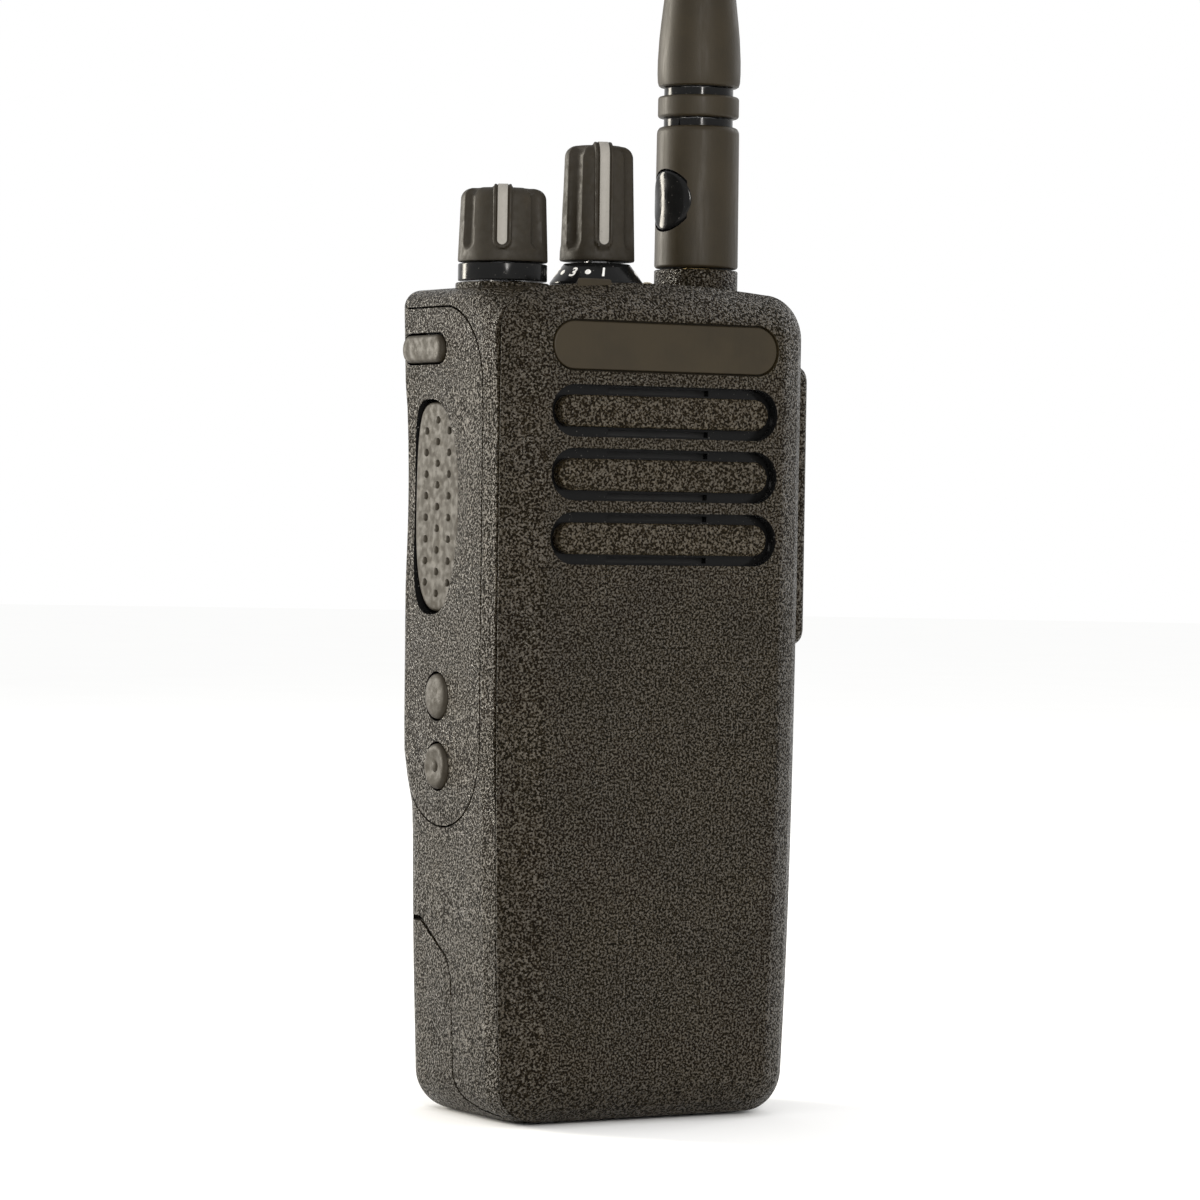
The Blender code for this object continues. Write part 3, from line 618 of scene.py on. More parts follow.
def body_outline(left, right, low, high, top_corner=TOP_CORNER, arch=TOP_ARCH):
    """The whole front view, once round."""
    right_side = half_outline(right, low, high, top_corner, arch)
    left_side = [(-x, z, -nx, nz) for x, z, nx, nz in half_outline(left, low, high, top_corner, arch)]
    return right_side + left_side[-2:0:-1]


def shell_outline(y):
    """The shell's front view at a depth: its top corners tighten from the panel backwards."""
    rearward = ease(y, SHELL_FRONT_Y, SHOULDER_REAR_Y)
    top_corner = TOP_CORNER + (REAR_TOP_CORNER - TOP_CORNER) * rearward
    arch = TOP_ARCH + (REAR_ARCH - TOP_ARCH) * rearward
    return body_outline(left_half, right_half, 0.0, HEIGHT, top_corner, arch)


def cheek(y):
    """Inset of the flanks where they turn towards the panel, with a rounded last edge."""
    turn = 0.0
    for (y0, inset0), (y1, inset1) in zip(CHEEK, CHEEK[1:]):
        if y0 <= y < y1:
            turn = inset0 + (inset1 - inset0) * (y - y0) / (y1 - y0)
    edge = max((SHELL_FRONT_Y + 0.2 - y) / 0.2, 0.0)
    return turn + 0.18 * (1 - math.sqrt(max(1 - edge ** 2, 0.0)))


def envelope(name, material=None):
    """The shell's outer form, from its front rim to its rounded back."""
    rings = []
    for y in CHEEK_LEVELS:
        inset = cheek(y)
        rings.append([(x - nx * inset, y, z - nz * inset) for x, z, nx, nz in shell_outline(y)])
    for degrees in range(0, 91, 6):
        lean = math.radians(degrees)
        ring = []
        for x, z, nx, nz in shell_outline(BACK_Y):
            radius = rear_radius(z)
            inset = radius * (1 - math.cos(lean))
            ring.append((x - nx * inset, BACK_Y - radius * (1 - math.sin(lean)), z - nz * inset))
        rings.append(ring)
    return loft(name, rings, material)


def tongue(level, rise):
    """Top line (y, z) near the back, with a step up that shuts the view through the seam."""
    return [(14.5, level), (14.7, level + rise), (BEHIND_Y, level + rise)]


def plate_outline(grow):
    """Side view (y, z) of the side plate: a tongue with a round foot, open to the back higher up."""
    front, head = -9.3 - grow, 125.8 + grow
    foot_radius, foot_z, head_radius = 12.7 + grow, 58.0, 11.5
    points = []
    for step in range(49):
        angle = math.radians(-20 - 160 * step / 48)
        points.append((front + foot_radius * (1 + math.cos(angle)), foot_z + foot_radius * math.sin(angle)))
    for step in range(25):
        angle = math.radians(180 - 90 * step / 24)
        points.append((front + head_radius * (1 + math.cos(angle)),
                       head - head_radius * (1 - math.sin(angle))))
    return points + tongue(head, 0.0 if grow else PLATE_TONGUE) + [(BEHIND_Y, points[0][1])]


def pack_outline(grow):
    """Side view (y, z) of the battery where it reaches the flanks and the underside."""
    slope, shadow = grow * 1.2, grow * 2.8
    points = [(-9.8 - grow, -3.0), (-9.8 - grow, 1.2 + grow), (-5.6 - slope, 1.8 + grow),
              (-1.4 - slope, 3.4 + grow), (0.55 - grow, 6.4 + grow), (0.55 - grow, 21.6),
              (1.9 - slope, 24.7 + grow), (10.2, 29.9 + shadow), (BEHIND_Y, 29.9 + shadow),
              (BEHIND_Y, -3.0)]
    return points[:1] + fillet(points[1:8], 1.2, 5) + points[8:]


# ---- shell and front ----

def make_housing():
    shell = envelope("shell_body", SHELL)
    seat = spin("seat", fillet(post(SEAT_RADIUS, 126, SEAT_TOP), 0.3), (VOLUME_X, CONTROL_Y))
    boss = spin("boss", fillet(post(BOSS_RADIUS, 126.5, BOSS_TOP), 0.3), (ANTENNA_X, CONTROL_Y))
    carve(shell, [seat, boss], 'UNION')
    above_top = 136
    holes = [("volume_hole", 3.6, VOLUME_X, 121.7), ("channel_hole", 3.6, CHANNEL_X, 122.8),
             ("antenna_hole", 4.2, ANTENNA_X, 122.8), ("led_hole", 1.5, LENS_X, 122.8)]
    cutters = [spin(name, post(radius, low, above_top), (x, CONTROL_Y), steps=48)
               for name, radius, x, low in holes]
    cutters += [
        block("front_cavity", (-21.4, -14, 5.6), (24.8, -1.2, 126.3)),
        block("top_cavity", (-21.4, -2, 110), (24.8, 14.6, 126.3)),
        block("battery_well", (-WELL_HALF, -1.5, -2), (WELL_HALF, 20, 107.8)),
        prism("battery_flank", pack_outline(GAP), "X", -OUTSIDE_X, OUTSIDE_X),
        prism("plate_recess", plate_outline(GAP), "X", -OUTSIDE_X, PLATE_INNER_X + GAP),
        block("key_pocket", (-26, -4.6, 49), (-22.4, 15.6, 121.4)),
        block("catch_slot", (-4.6, -3.3, -2), (4.6, -1.0, 7)),
        block("accessory_window", (24, -7, 84), (29, 3, 112)),
        spin("screw_hole", post(2.1, 26, 30), (SCREW_Y, SCREW_Z), "X", steps=32)]
    carve(shell, cutters)
    soften(shell, 0.2)
    dress(shell, "root", "shell_plastic", "front_housing")


def panel_profile():
    """(y, inset) from the panel's rear edge over its chamfered flank on to the flat face."""
    profile = [(PANEL_BASE_Y, 0.6), (-13.25, 0.42), (-13.4, 0.22), (-13.6, 0.1), (-13.85, 0.05)]
    profile += [(-13.95, 0.12), (-14.6, 0.7), (-15.3, 1.32), (-15.95, 1.9)]
    crease, pull, face = Vector((-16.15, 2.12)), Vector((FACE_Y, 5.0)), Vector((FACE_Y, 6.2))
    for step in range(11):
        t = step / 10
        point = crease * (1 - t) ** 2 + pull * 2 * t * (1 - t) + face * t * t
        profile.append(tuple(point))
    return profile


def make_index_tile():
    """The small bevelled marker that straddles the panel's top edge before the volume knob."""
    x, y, z = INDEX_TILE
    levels = ((-2.2, 3.1, 0.85), (0.1, 2.95, 0.75), (0.32, 2.7, 0.55), (0.36, 1.6, 0.25))
    rings = []
    for lift, half, reach in levels:
        ring = []
        for side, depth in ((-1, -1), (1, -1), (1, 1), (-1, 1)):
            taper = 0.45 if depth > 0 else 0.0
            ring.append((x + side * (half - taper), y + depth * reach, z + lift - 0.25 * depth))
        rings.append(ring)
    dress(loft("index_tile", rings, SMOOTH, 30), "root", "smooth_plastic")


def make_panel():
    outline = body_outline(panel_half, panel_half, 0.6, 130.0)
    rings = [[(x - nx * inset, y, z - nz * inset) for x, z, nx, nz in outline]
             for y, inset in panel_profile()]
    panel = loft("front_cover", rings, SHELL)
    cutters = [block("panel_back", (-22.4, -15.8, 6), (22.4, -12, 123)),
               prism("name_recess", stadium(NAME_HALF, NAME_HEIGHT, 0, NAME_Z)(), "-Y",
                     NAME_BED, BEFORE_FACE, SMOOTH)]
    for level, z in GRILLE_LEVELS.items():
        cutters.append(prism("slot_" + level, stadium(SLOT_HALF, SLOT_HEIGHT, 0, z)(), "-Y",
                             SLOT_BED, BEFORE_FACE, GLOSS))
    carve(panel, cutters)
    soften(panel, 0.28, 50, 3)
    dress(panel, "root", "shell_plastic", "front_panel")


def make_grille():
    """The blank name plate and the three bars, each with a rounded edge."""
    plate = slab("blank_name_plate", stadium(NAME_HALF - GAP, NAME_HEIGHT - 2 * GAP, 0, NAME_Z),
                 [(17.2, 0.0), (17.7, 0.0), (17.82, 0.07), (17.88, 0.16), (17.9, 0.3)], "-Y", SMOOTH)
    dress(plate, "root", "smooth_plastic", "name_plate")
    for level, z in GRILLE_LEVELS.items():
        bar = slab("bar_" + level, stadium(BAR_HALF, BAR_HEIGHT, 0, z),
                   [(15.8, 0.0), (17.55, 0.0), (17.72, 0.05), (17.83, 0.16), (17.9, 0.38)], "-Y", BAR)
        dress(bar, "root", "shell_plastic", "grille_bar_" + level)


# ---- left flank ----

def make_side_plate():
    plate = envelope("side_plate", SHELL)
    carve(plate, [prism("plate_region", plate_outline(0), "X", -OUTSIDE_X, PLATE_INNER_X)], 'INTERSECT')
    centre, radii = THUMB_HOLLOW
    bm = bmesh.new()
    bmesh.ops.create_uvsphere(bm, u_segments=96, v_segments=64, radius=1.0)
    bmesh.ops.scale(bm, vec=radii, verts=bm.verts)
    bmesh.ops.translate(bm, vec=centre, verts=bm.verts)
    cutters = [to_object("thumb_hollow", bm, SHELL),
               prism("talk_opening", leaf(TALK_HALF_Y, TALK_HALF_Z)(), "X", -OUTSIDE_X, -20, GLOSS),
               prism("top_key_opening", stadium(7.1, 5.0, TOP_KEY_Y - 0.3, TOP_KEY_Z)(), "X",
                     -OUTSIDE_X, -20, GLOSS)]
    for level, (y, z) in SIDE_KEYS.items():
        cutters.append(spin("key_hole_" + level, post(3.87, 20, OUTSIDE_X), (y, z), "-X", GLOSS, 64))
    carve(plate, cutters)
    soften(plate, 0.22, 40, 3)
    dress(plate, "root", "shell_plastic", "side_control_plate")


def dome(centre, radius, height):
    """A low closed dome on the left flank, sunk a little into what it stands on."""
    rings, sunk = 5, centre[0] - 0.3
    profile = [(0, centre[0] + height)]
    for ring in range(1, rings + 1):
        angle = math.radians(90 * ring / rings)
        profile.append((radius * math.sin(angle), centre[0] + height * math.cos(angle)))
    return spin("dome", profile + [(radius, sunk), (0, sunk)], centre[1:], "-X", KEY, 14, 80)


def make_talk_key():
    face = TALK_FACE_X
    levels = [(24.3, -0.95), (24.65, -0.95), (24.7, 0.0), (face - 0.57, 0.0), (face - 0.32, 0.07),
              (face - 0.14, 0.22), (face - 0.04, 0.45), (face, 0.8), (face + 0.02, 1.6)]
    key = slab("talk_key_pad", leaf(TALK_HALF_Y - 0.45, TALK_HALF_Z - 0.45), levels, "-X", KEY)
    bumps = []
    pitch, column, bump_radius, bump_height = 3.38, 3.7, 0.62, 0.42
    for index, count in enumerate((8, 9, 8)):
        for i in range(count):
            z = TALK_Z + (i - (count - 1) / 2) * pitch
            bumps.append(dome((face, TALK_Y + (index - 1) * column, z), bump_radius, bump_height))
    merge(key, bumps)
    dress(key, "talk_key", "key_rubber", "push_to_talk_key")


def make_round_keys():
    for level, (y, z) in SIDE_KEYS.items():
        crown = [(0, 28.08), (2.0, 28.06), (2.75, 27.98), (3.2, 27.82), (3.45, 27.55), (3.55, 27.2)]
        if level == "lower":
            crown = [(0, 28.05), (0.45, 28.03), (0.72, 27.9), (0.9, 27.72), (1.7, 27.8), (2.5, 27.98),
                     (2.9, 28.0), (3.25, 27.85), (3.47, 27.55), (3.55, 27.2)]
        foot = [(3.55, 24.7), (4.3, 24.7), (4.3, 24.2), (0, 24.2)]
        key = spin("round_key_" + level, crown + foot, (y, z), "-X", KEY, 72)
        dress(key, level + "_key", "key_rubber", "side_key_" + level)


def make_top_key():
    outline = stadium(6.5, 4.3, TOP_KEY_Y, TOP_KEY_Z)
    levels = [(25.4, 0.0), (28.0, 0.0), (28.3, 0.08), (28.5, 0.25), (28.61, 0.5), (28.65, 0.9)]
    key = slab("bar_key", outline, levels, "-X", KEY)
    carve(key, [block("bar_stem", (-25.6, 4.5, 118.2), (KEY_REST_X, 10, 120.8), KEY)], 'UNION')
    shade(key)
    dress(key, "top_button", "key_rubber", "top_key")


# ---- right flank ----

def make_port_cover():
    (x0, y0, z0), (x1, y1, z1) = COVER_LOW, COVER_HIGH
    outline = rectangle((y0, z0), (y1, z1), 2.6)
    levels = [(x0, 0.25), (x0 + 0.08, 0.06), (x0 + 0.25, 0.0), (x1 - 1.3, 0.0), (x1 - 0.85, 0.1),
              (x1 - 0.45, 0.35), (x1 - 0.15, 0.8), (x1, 1.5)]
    cover = slab("port_cover_shell", outline, levels, "X", SHELL)
    inlay = rectangle((y0 + 3.0, z0 + 12.0), (y1 - 3.0, z1 - 4.5), 1.6)
    cutters = [prism("cover_inlay", inlay(), "X", x1 - 0.35, x1 + 1, SMOOTH),
               spin("screw_recess", post(3.8, 29.4, 33), (SCREW_Y, SCREW_Z), "X", SMOOTH, 64),
               spin("screw_passage", post(1.6, 26, 31), (SCREW_Y, SCREW_Z), "X", SMOOTH, 32)]
    ribs = []
    rib_levels = [(x1 - 0.9, 0.0), (x1 - 0.12, 0.0), (x1 - 0.02, 0.12), (x1, 0.3)]
    for i in range(5):
        ridge = stadium(4.0, 0.9, (y0 + y1) / 2, z1 - 9.0 - 1.9 * i)
        ribs.append(slab("rib", ridge, rib_levels, "X", SMOOTH))
    carve(cover, cutters)
    soften(cover, 0.15, 40)
    merge(cover, ribs)
    dress(cover, "port_cover", "shell_plastic", "accessory_cover")


def make_screw():
    profile = fillet([(0, 31.0), (3.2, 31.0), (3.5, 30.7), (3.5, 29.7)], 0.25) + \
        [(1.3, 29.7), (1.3, 26.9), (1.1, 26.7), (0, 26.7)]
    screw = spin("captive_screw", profile, (SCREW_Y, SCREW_Z), "X", STEEL, 72)
    slot = block("coin_slot", (30.2, SCREW_Y - 0.55, SCREW_Z - 5), (32, SCREW_Y + 0.55, SCREW_Z + 5), STEEL)
    carve(screw, [slot])
    soften(screw, 0.08, 40)
    dress(screw, "port_screw", "plated_steel", "cover_screw")


# ---- top controls ----

def knob_shoulder(knob):
    """(radius, height, outward, up) round the shoulder, from the side to the top."""
    points = []
    for step in range(1, 10):
        c, s = math.cos(math.radians(10 * step)), math.sin(math.radians(10 * step))
        points.append((knob.head - knob.edge + knob.edge * c, knob.high - knob.edge + knob.edge * s, c, s))
    return points


def knob_side(knob, height):
    """Radius of the tapered side at a height, above the rounded foot."""
    start, end = knob.low + FOOT_EDGE, knob.high - knob.edge
    return knob.foot + (knob.head - knob.foot) * (height - start) / (end - start)


def knob_profile(knob):
    """(radius, height, outward, up) from the foot over the round shoulder to the middle of the top."""
    start, end = knob.low + FOOT_EDGE, knob.high - knob.edge
    points = [(knob.foot - 0.35, knob.low, 0.0, 0.0), (knob.foot - 0.1, knob.low + 0.05, 0.2, 0.0),
              (knob.foot, start, 1.0, 0.0)]
    side, top = 34, 9
    for step in range(1, side + 1):
        height = start + (end - start) * step / side
        points.append((knob_side(knob, height), height, 1.0, 0.0))
    points += knob_shoulder(knob)
    for step in range(1, top):
        points.append(((knob.head - knob.edge) * (1 - step / top), knob.high, 0.0, 1.0))
    return points


def rounded_distance(across, along, end):
    """Distance from a line that stops at `end` with a round tip."""
    return abs(across) if along >= end else math.hypot(across, end - along)


def knob_relief(knob, radius, height, turn):
    """Height of the surface above the plain knob: flutes cut in, the pointer's rib stands out."""
    relief = 0.0
    for place in range(1, FLUTE_PLACES):
        centre = 2 * math.pi * place / FLUTE_PLACES
        across = radius * math.sin(turn - centre)
        if math.cos(turn - centre) > 0 and radius > 1.0:
            near = rounded_distance(across, height, knob.low + 3.1) / knob.flute_half
            fade = ease(radius, knob.foot * 0.62, knob.foot * 0.82)
            relief -= 0.8 * max(1 - near ** 2, 0.0) ** 0.7 * fade
    across = radius * math.sin(turn)
    along = height if radius > knob.foot * 0.75 else math.inf
    forward = radius * math.cos(turn)
    if forward > 0:
        near = max(rounded_distance(across, along, knob.low + 3.15),
                   rounded_distance(across, forward, 3.2))
        rib = ease(1.52 - near, 0.0, 0.28)
        relief = relief * (1 - rib) + 0.5 * rib - 0.16 * ease(0.12 - abs(near - 0.88), 0.0, 0.08)
    return relief


def knob_angles(pointer):
    """Turns round the knob, close together where the pointer's rib is."""
    fine = [pointer - 18 + 0.75 * i for i in range(48)]
    coarse = [pointer + 18 + 2.0 * i for i in range(162)]
    return [math.radians(a) for a in fine + coarse]


def make_knob(knob):
    """A ribbed grip with a blind bore, and its painted stripe."""
    def at(radius, angle, height):
        return (knob.x + radius * math.cos(angle), CONTROL_Y + radius * math.sin(angle), height)

    angles = knob_angles(knob.pointer)
    bore, bore_top = 2.3, knob.high - 4.0
    rings = [[at(0, 0, bore_top)]]
    rings += [[at(bore, angle, height) for angle in angles] for height in (bore_top, knob.low)]
    for radius, height, outward, up in knob_profile(knob):
        ring = []
        for angle in angles:
            relief = knob_relief(knob, radius, height, angle - math.radians(knob.pointer))
            ring.append(at(radius + relief * outward, angle, height + relief * up))
        rings.append(ring)
    rings.append([at(0, 0, knob.high)])
    grip = loft(knob.kind + "_grip", rings, RUBBER, 50)
    dress(grip, knob.kind + "_control", "key_rubber", knob.kind + "_knob")
    dress(stripe_mesh(knob), knob.kind + "_control", "pointer_grey", knob.kind + "_pointer")


def stripe_mesh(knob):
    """The painted inlay: a strip with a round lower tip that bends over the shoulder."""
    half, proud, sunk, bevel = 0.75, 0.53, 0.1, 0.06
    start, side_top = knob.low + 2.4, knob.high - knob.edge
    stations = []
    for step in range(7):
        angle = math.radians(-90 + 15 * step)
        height, width = start + half * (1 + math.sin(angle)), max(half * math.cos(angle), 0.02)
        stations.append((knob_side(knob, height), height, 1.0, 0.0, width))
    for step in range(1, 9):
        height = start + 2 * half + (side_top - start - 2 * half) * step / 8
        stations.append((knob_side(knob, height), height, 1.0, 0.0, half))
    stations += [(*point, half) for point in knob_shoulder(knob)]
    stations.append((3.0, knob.high, 0.0, 1.0, half))
    turn = Matrix.Rotation(math.radians(knob.pointer), 3, 'Z')
    rings = []
    for radius, height, outward, up, width in stations:
        ring = []
        for across, lift in ((-width, sunk), (-width, proud - 0.05), (-width + bevel, proud),
                             (width - bevel, proud), (width, proud - 0.05), (width, sunk)):
            limited = max(min(across, width), -width)
            point = turn @ Vector((radius + lift * outward, limited, 0))
            ring.append((knob.x + point.x, CONTROL_Y + point.y, height + lift * up))
        rings.append(ring)
    return loft(knob.kind + "_stripe", rings, POINTER, 40)


def dial_mark(text, angle):
    """One number or dot, bent round the dial's cone."""
    curve = bpy.data.curves.new("mark", 'FONT')
    curve.body = text
    curve.size = 2.35
    curve.shear = 0.18
    curve.offset = 0.06
    curve.align_x = curve.align_y = 'CENTER'
    curve.resolution_u = 4
    shape = bpy.data.objects.new("mark", curve)
    SCENE.collection.objects.link(shape)
    bpy.context.view_layer.update()
    flat = bpy.data.meshes.new_from_object(shape.evaluated_get(bpy.context.evaluated_depsgraph_get()))
    bm = bmesh.new()
    bm.from_mesh(flat)
    bpy.data.objects.remove(shape, do_unlink=True)
    bmesh.ops.remove_doubles(bm, verts=bm.verts, dist=0.001)
    width = [v.co.x for v in bm.verts]
    height = [v.co.y for v in bm.verts]
    shift = Vector(((min(width) + max(width)) / 2, (min(height) + max(height)) / 2, 0))
    for vert in bm.verts:
        vert.co -= shift
    grown = bmesh.ops.extrude_face_region(bm, geom=bm.faces[:])
    for item in grown["geom"]:
        if isinstance(item, bmesh.types.BMVert):
            item.co.z = MARK_HEIGHT
    for vert in bm.verts:
        vert.co = wrap_on_dial(vert.co.x, vert.co.y, vert.co.z, angle)
    return to_object("mark", bm, PRINT, 30)


def wrap_on_dial(across, up, lift, angle):
    """A point of the flat print, laid on the cone at that turn. The print reads from outside."""
    slope = Vector((DIAL_HEAD - DIAL_FOOT, DIAL_HEAD_Z - DIAL_FOOT_Z)).normalized()
    middle = Vector(((DIAL_FOOT + DIAL_HEAD) / 2, (DIAL_FOOT_Z + DIAL_HEAD_Z) / 2))
    point = middle + slope * up + Vector((slope.y, -slope.x)) * (lift - MARK_SUNK)
    turn = math.radians(angle) + across / middle.x
    return Vector((CHANNEL_X + point.x * math.cos(turn), CONTROL_Y + point.x * math.sin(turn), point.y))


def dial_dot(angle):
    bm = bmesh.new()
    rings = []
    for radius, lift in ((0.001, MARK_HEIGHT), (0.42, MARK_HEIGHT), (0.48, 0.09), (0.48, 0.0), (0.001, 0.0)):
        rings.append([wrap_on_dial(radius * math.cos(a), radius * math.sin(a), lift, angle)
                      for a in turns(20)])
    skin(bm, rings, around=False)
    return to_object("mark", bm, PRINT, 30)


def make_dial():
    profile = fillet([(3.7, DIAL_HEAD_Z), (DIAL_HEAD, DIAL_HEAD_Z), (DIAL_FOOT, DIAL_FOOT_Z),
                      (DIAL_FOOT, 130.1), (3.7, 130.1)], 0.12, 3)
    dial = spin("dial_cone", profile, (CHANNEL_X, CONTROL_Y), "Z", GLOSS)
    dress(dial, "root", "gloss_black", "channel_dial")
    step = 360 / CHANNEL_COUNT
    marks = []
    for i in range(PRINTED_MARKS):
        angle = CHANNEL_POINTER - step * i
        marks.append(dial_dot(angle) if i % 2 else dial_mark(str(i + 1), angle))
    merge(marks[0], marks[1:])
    marks[0].name = "dial_numbers"
    dress(marks[0], "root", "pointer_grey")


def make_collar():
    profile = fillet([(6.95, 132.7), (6.95, 130.05), (3.7, 130.05), (3.7, 132.7)], 0.2, 4, True)
    collar = spin("volume_ring", profile, (VOLUME_X, CONTROL_Y), "Z", GLOSS)
    dress(collar, "root", "gloss_black", "volume_collar")


def make_lens():
    lens_piece = spin("status_light", [(0, 131.0), (0.45, 130.95), (0.85, 130.75), (1.1, 130.4), (1.2, 130.0),
                                       (1.2, 123.5), (0, 123.5)], (LENS_X, CONTROL_Y), "Z", LENS, 40)
    dress(lens_piece, "root", "lens_amber", "status_lens")


# ---- antenna ----

def make_antenna():
    centre = (ANTENNA_X, CONTROL_Y)
    base_side = fillet([(0, 155.9), (5.6, 155.9), (6.2, 155.75), (6.55, 155.1), (6.62, 140), (6.65, 133.7),
                        (6.4, MAST_FOOT), (0, MAST_FOOT)], 0.35)
    base = spin("antenna_foot", base_side, centre, "Z", ANTENNA, 120)
    neck = spin("antenna_neck", post(5.5, 155.5, 157.0), centre, "Z", GLOSS, 120)
    pocket_radius, pocket_reach = 5.0, (5.2, 9.0)
    pocket = loft("badge_pocket", [badge_ring(pocket_radius, reach) for reach in pocket_reach], GLOSS)
    carve(base, [neck], 'UNION')
    carve(base, [pocket, spin("stud_hole", post(2.6, 130, 140), centre, "Z", ANTENNA, 32),
                 spin("sleeve_hole", post(3.3, 150, 160), centre, "Z", ANTENNA, 32)])
    soften(base, 0.14, 45)
    dress(base, "antenna", "smooth_plastic", "antenna_base")
    make_badge()
    band_side = fillet([(5.5, BAND_HIGH), (6.2, BAND_HIGH), (6.45, 160.4), (6.45, 157.6), (6.2, BAND_LOW),
                        (3.3, BAND_LOW)], 0.2, 4)
    band = spin("antenna_ring", band_side + [(3.3, 161.9), (5.5, 161.9)], centre, "Z", ANTENNA, 120)
    gloss_above(band, BAND_HIGH)
    dress(band, "antenna", "smooth_plastic", "antenna_band")
    whip_side = [(0, WHIP_TOP), (1.2, 279.85), (2.2, 279.4), (3.1, 278.5), (3.6, 277.4), (3.9, 276),
                 (3.9, 245), (3.9, 215), (3.95, 206), (4.1, 198), (4.3, 192), (4.6, 187), (5.2, 181),
                 (5.75, 176), (6.15, 172.5), (6.4, 170), (6.6, 166.5), (6.62, 164.4), (6.55, 163.0),
                 (6.38, 162.4), (6.1, WHIP_LOW)]
    bore = [(3.3, WHIP_LOW), (3.3, 170.4), (1.6, 170.4), (1.6, 275), (0, 275)]
    whip = spin("antenna_rod", whip_side + bore, centre, "Z", ANTENNA, 120)
    dress(whip, "antenna", "smooth_plastic", "antenna_whip")


def gloss_above(obj, height):
    """Give the antenna's outer faces above a height the glossy material."""
    obj.data.materials.append(GLOSS)
    for face in obj.data.polygons:
        centre = face.center / MM
        if centre.z > height and math.hypot(centre.x - ANTENNA_X, centre.y - CONTROL_Y) > 5:
            face.material_index = 1


def badge_ring(radius, reach, skin_radius=None, count=72):
    """A ring round the badge's middle, flat at `reach` from the mast's axis or bent round it."""
    outward = Matrix.Rotation(math.radians(BADGE_FACING), 3, 'Z') @ Vector((1, 0, 0))
    side = Vector((-outward.y, outward.x, 0))
    ring = []
    for angle in turns(count):
        across = radius * math.cos(angle)
        if skin_radius:
            reach = math.sqrt(skin_radius ** 2 - across ** 2)
        ring.append(Vector((ANTENNA_X, CONTROL_Y, BADGE_Z + radius * math.sin(angle)))
                    + side * across + outward * reach)
    return ring


def make_badge():
    """A plain glossy disc that follows the mast, a little hollow in its middle, with a rounded rim."""
    levels = [(0.0, 6.52), (1.2, 6.53), (2.4, 6.56), (3.4, 6.61), (3.9, 6.68), (4.2, 6.72), (4.45, 6.7),
              (4.62, 6.6), (BADGE_RADIUS, 6.4)]
    rings = [badge_ring(radius, 0, skin_radius, 72 if radius else 1) for radius, skin_radius in levels]
    rings.append(badge_ring(BADGE_RADIUS, 4.0))
    dress(loft("antenna_inlay", rings, GLOSS, 40), "antenna", "gloss_black", "antenna_badge")


# ---- battery ----

def make_battery():
    case = envelope("battery_shell", SHELL)
    *flank, (_, seam), foot = pack_outline(0)
    region = prism("battery_region", flank + tongue(seam, PACK_TONGUE) + [foot], "X",
                   -OUTSIDE_X, OUTSIDE_X, SHELL)
    upper = block("battery_upper", (-PACK_HALF, PACK_FRONT_Y, 15), (PACK_HALF, BEHIND_Y, PACK_TOP), SHELL)
    carve(region, [upper], 'UNION')
    carve(case, [region], 'INTERSECT')
    label = rectangle((-17.5, 34), (17.5, 78), 2.2)
    cutters = [block("cell_room", (-19.2, -1, 12), (19.2, 15.6, 105.5)),
               block("latch_room", (-9.3, 3.2, -2), (9.3, 12, 4.4)),
               block("latch_stem_room", (-5, -3, 4), (5, 8.7, 10.2)),
               prism("label_bed", label(), "-Y", -BACK_Y - 1, -BACK_Y + 0.3, SMOOTH)]
    for i in range(6):
        groove = stadium(13.0, 1.5, 0, 86.5 + 3.0 * i)
        cutters.append(prism("grip_groove_%d" % i, groove(), "-Y", -BACK_Y - 1, -BACK_Y + 0.45, SHELL))
    carve(case, cutters)
    soften(case, 0.2, 42)
    dress(case, "battery", "shell_plastic", "battery_case")


# ---- what keeps its CAD mesh ----

CARRIED = (
    (GLOSS, "speaker_baffle"),
    (FILM, "speaker_screen speaker_frame speaker_cone side_key_flex"),
    (STEEL, "speaker_magnet board_screw_lower_left board_screw_lower_right board_screw_upper_left "
            "board_screw_upper_right rf_shield volume_shaft channel_shaft antenna_sleeve "
            "latch_spring_left latch_spring_right"),
    (ALUMINIUM, "microphone chassis"),
    (BOARD, "main_board battery_board"),
    (RUBBER, "main_seal"),
    (SMOOTH, "contact_block volume_potentiometer channel_switch accessory_connector "
             "battery_inner_cover battery_latch"),
    (BRASS, "antenna_socket antenna_stud antenna_core accessory_contacts battery_contacts"),
    (CELL, "battery_cell_left battery_cell_right"),
)


def dress_carried():
    for material, names in CARRIED:
        for name in names.split():
            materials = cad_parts[name].data.materials
            materials.clear()
            materials.append(material)


# ---- studio ----

def make_floor():
    bm = bmesh.new()
    bmesh.ops.create_circle(bm, cap_ends=True, segments=96, radius=FLOOR_RADIUS)
    floor = to_object("studio_floor", bm)
    shader = Shader("pale_floor")
    shader.set(Specular_IOR_Level=0.0)
    shader.colour(shader.mix(shader.noise(60, 3.0), (0.96, 0.96, 0.955), (0.98, 0.98, 0.975)))
    shader.roughness(shader.noise(3), 0.85, 0.95)
    floor.data.materials.append(shader.material)


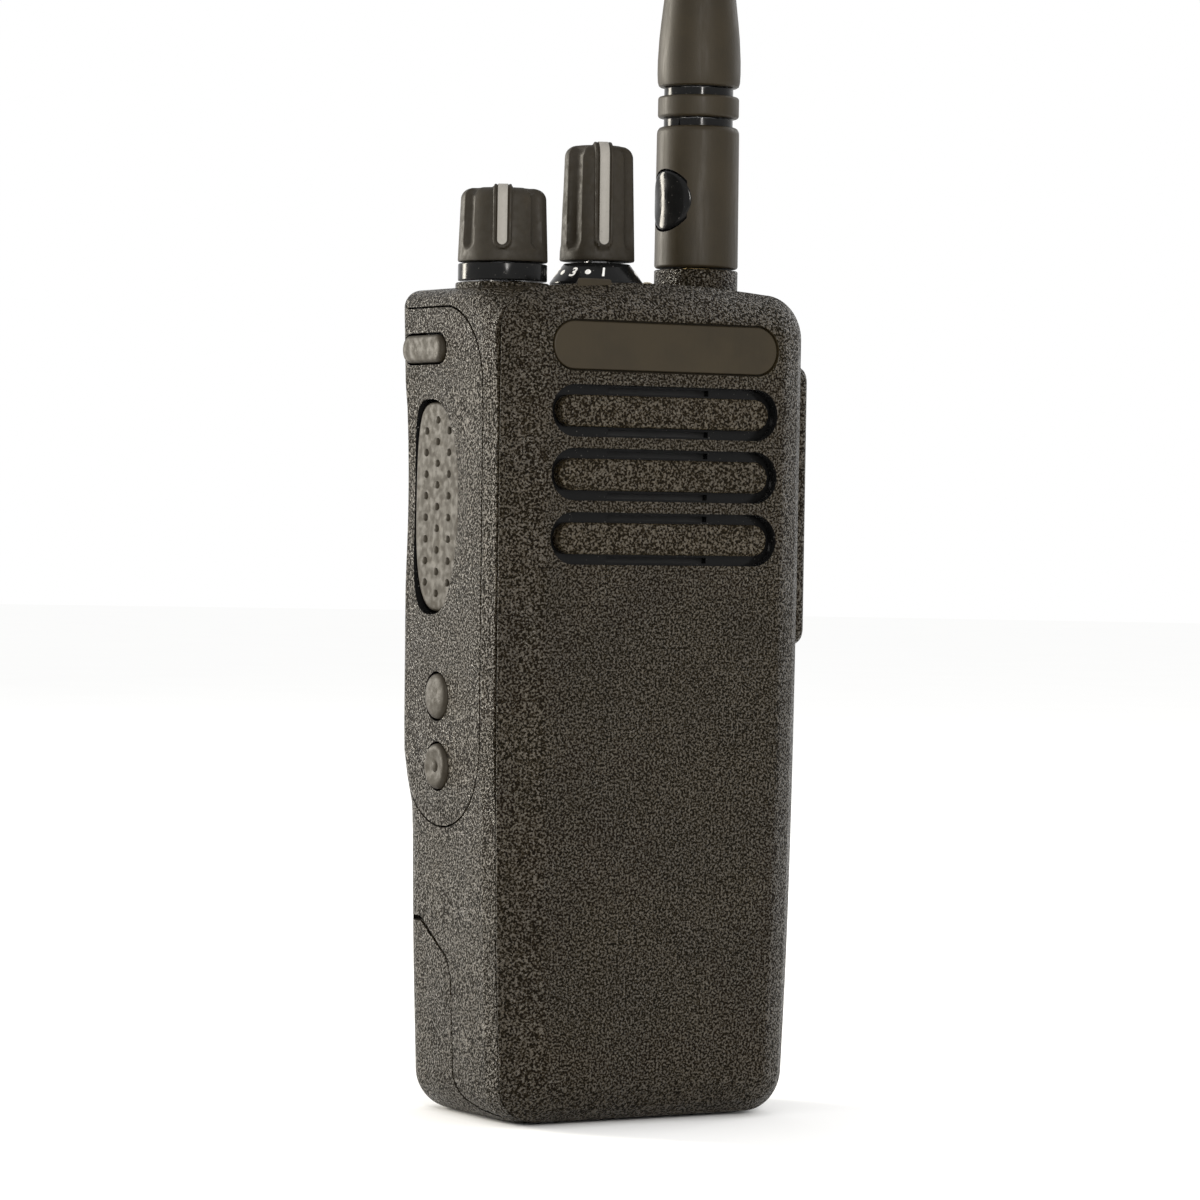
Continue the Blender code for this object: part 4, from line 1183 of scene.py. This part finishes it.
def add_light(name, at, size, power, colour):
    lamp = bpy.data.lights.new(name, 'AREA')
    lamp.shape = 'RECTANGLE'
    lamp.size, lamp.size_y = size[0] * MM, size[1] * MM
    lamp.energy = power
    lamp.color = colour
    obj = bpy.data.objects.new(name, lamp)
    obj.location = Vector(at) * MM
    obj.rotation_euler = (Vector(LIGHT_AIM) - Vector(at)).to_track_quat('-Z', 'Y').to_euler()
    SCENE.collection.objects.link(obj)


def make_studio():
    make_floor()
    world = bpy.data.worlds.new("studio")
    world.use_nodes = True
    world.node_tree.nodes["Background"].inputs["Color"].default_value = (1.0, 1.0, 1.0, 1.0)
    world.node_tree.nodes["Background"].inputs["Strength"].default_value = 1.0
    SCENE.world = world
    for light in LIGHTS:
        add_light(*light)
    SCENE.view_settings.view_transform = 'Standard'


def make_camera():
    turn, pitch, roll = (math.radians(a) for a in (VIEW_TURN, VIEW_PITCH, VIEW_ROLL))
    forward = Vector((math.sin(turn) * math.cos(pitch), math.cos(turn) * math.cos(pitch), math.sin(pitch)))
    right = forward.cross(Vector((0, 0, 1))).normalized()
    up = right.cross(forward)
    axis_x = right * math.cos(roll) + up * math.sin(roll)
    axis_y = up * math.cos(roll) - right * math.sin(roll)
    lens_data = bpy.data.cameras.new("view")
    lens_data.sensor_width = 36
    lens_data.lens = VIEW_LENS
    lens_data.clip_start, lens_data.clip_end = 0.02, 50
    camera = bpy.data.objects.new("view", lens_data)
    rotation = Matrix((axis_x, axis_y, -forward)).transposed().to_4x4()
    camera.matrix_world = Matrix.Translation((Vector(VIEW_TARGET) - forward * VIEW_DISTANCE) * MM) @ rotation
    SCENE.collection.objects.link(camera)
    SCENE.camera = camera


make_housing()
make_panel()
make_index_tile()
make_grille()
make_side_plate()
make_talk_key()
make_round_keys()
make_top_key()
make_port_cover()
make_screw()
make_collar()
make_dial()
make_lens()
for top_knob in KNOBS:
    make_knob(top_knob)
make_antenna()
make_battery()
dress_carried()
make_camera()
make_studio()


def corners(bounds):
    return [list(map(float, corner)) for corner in bounds]
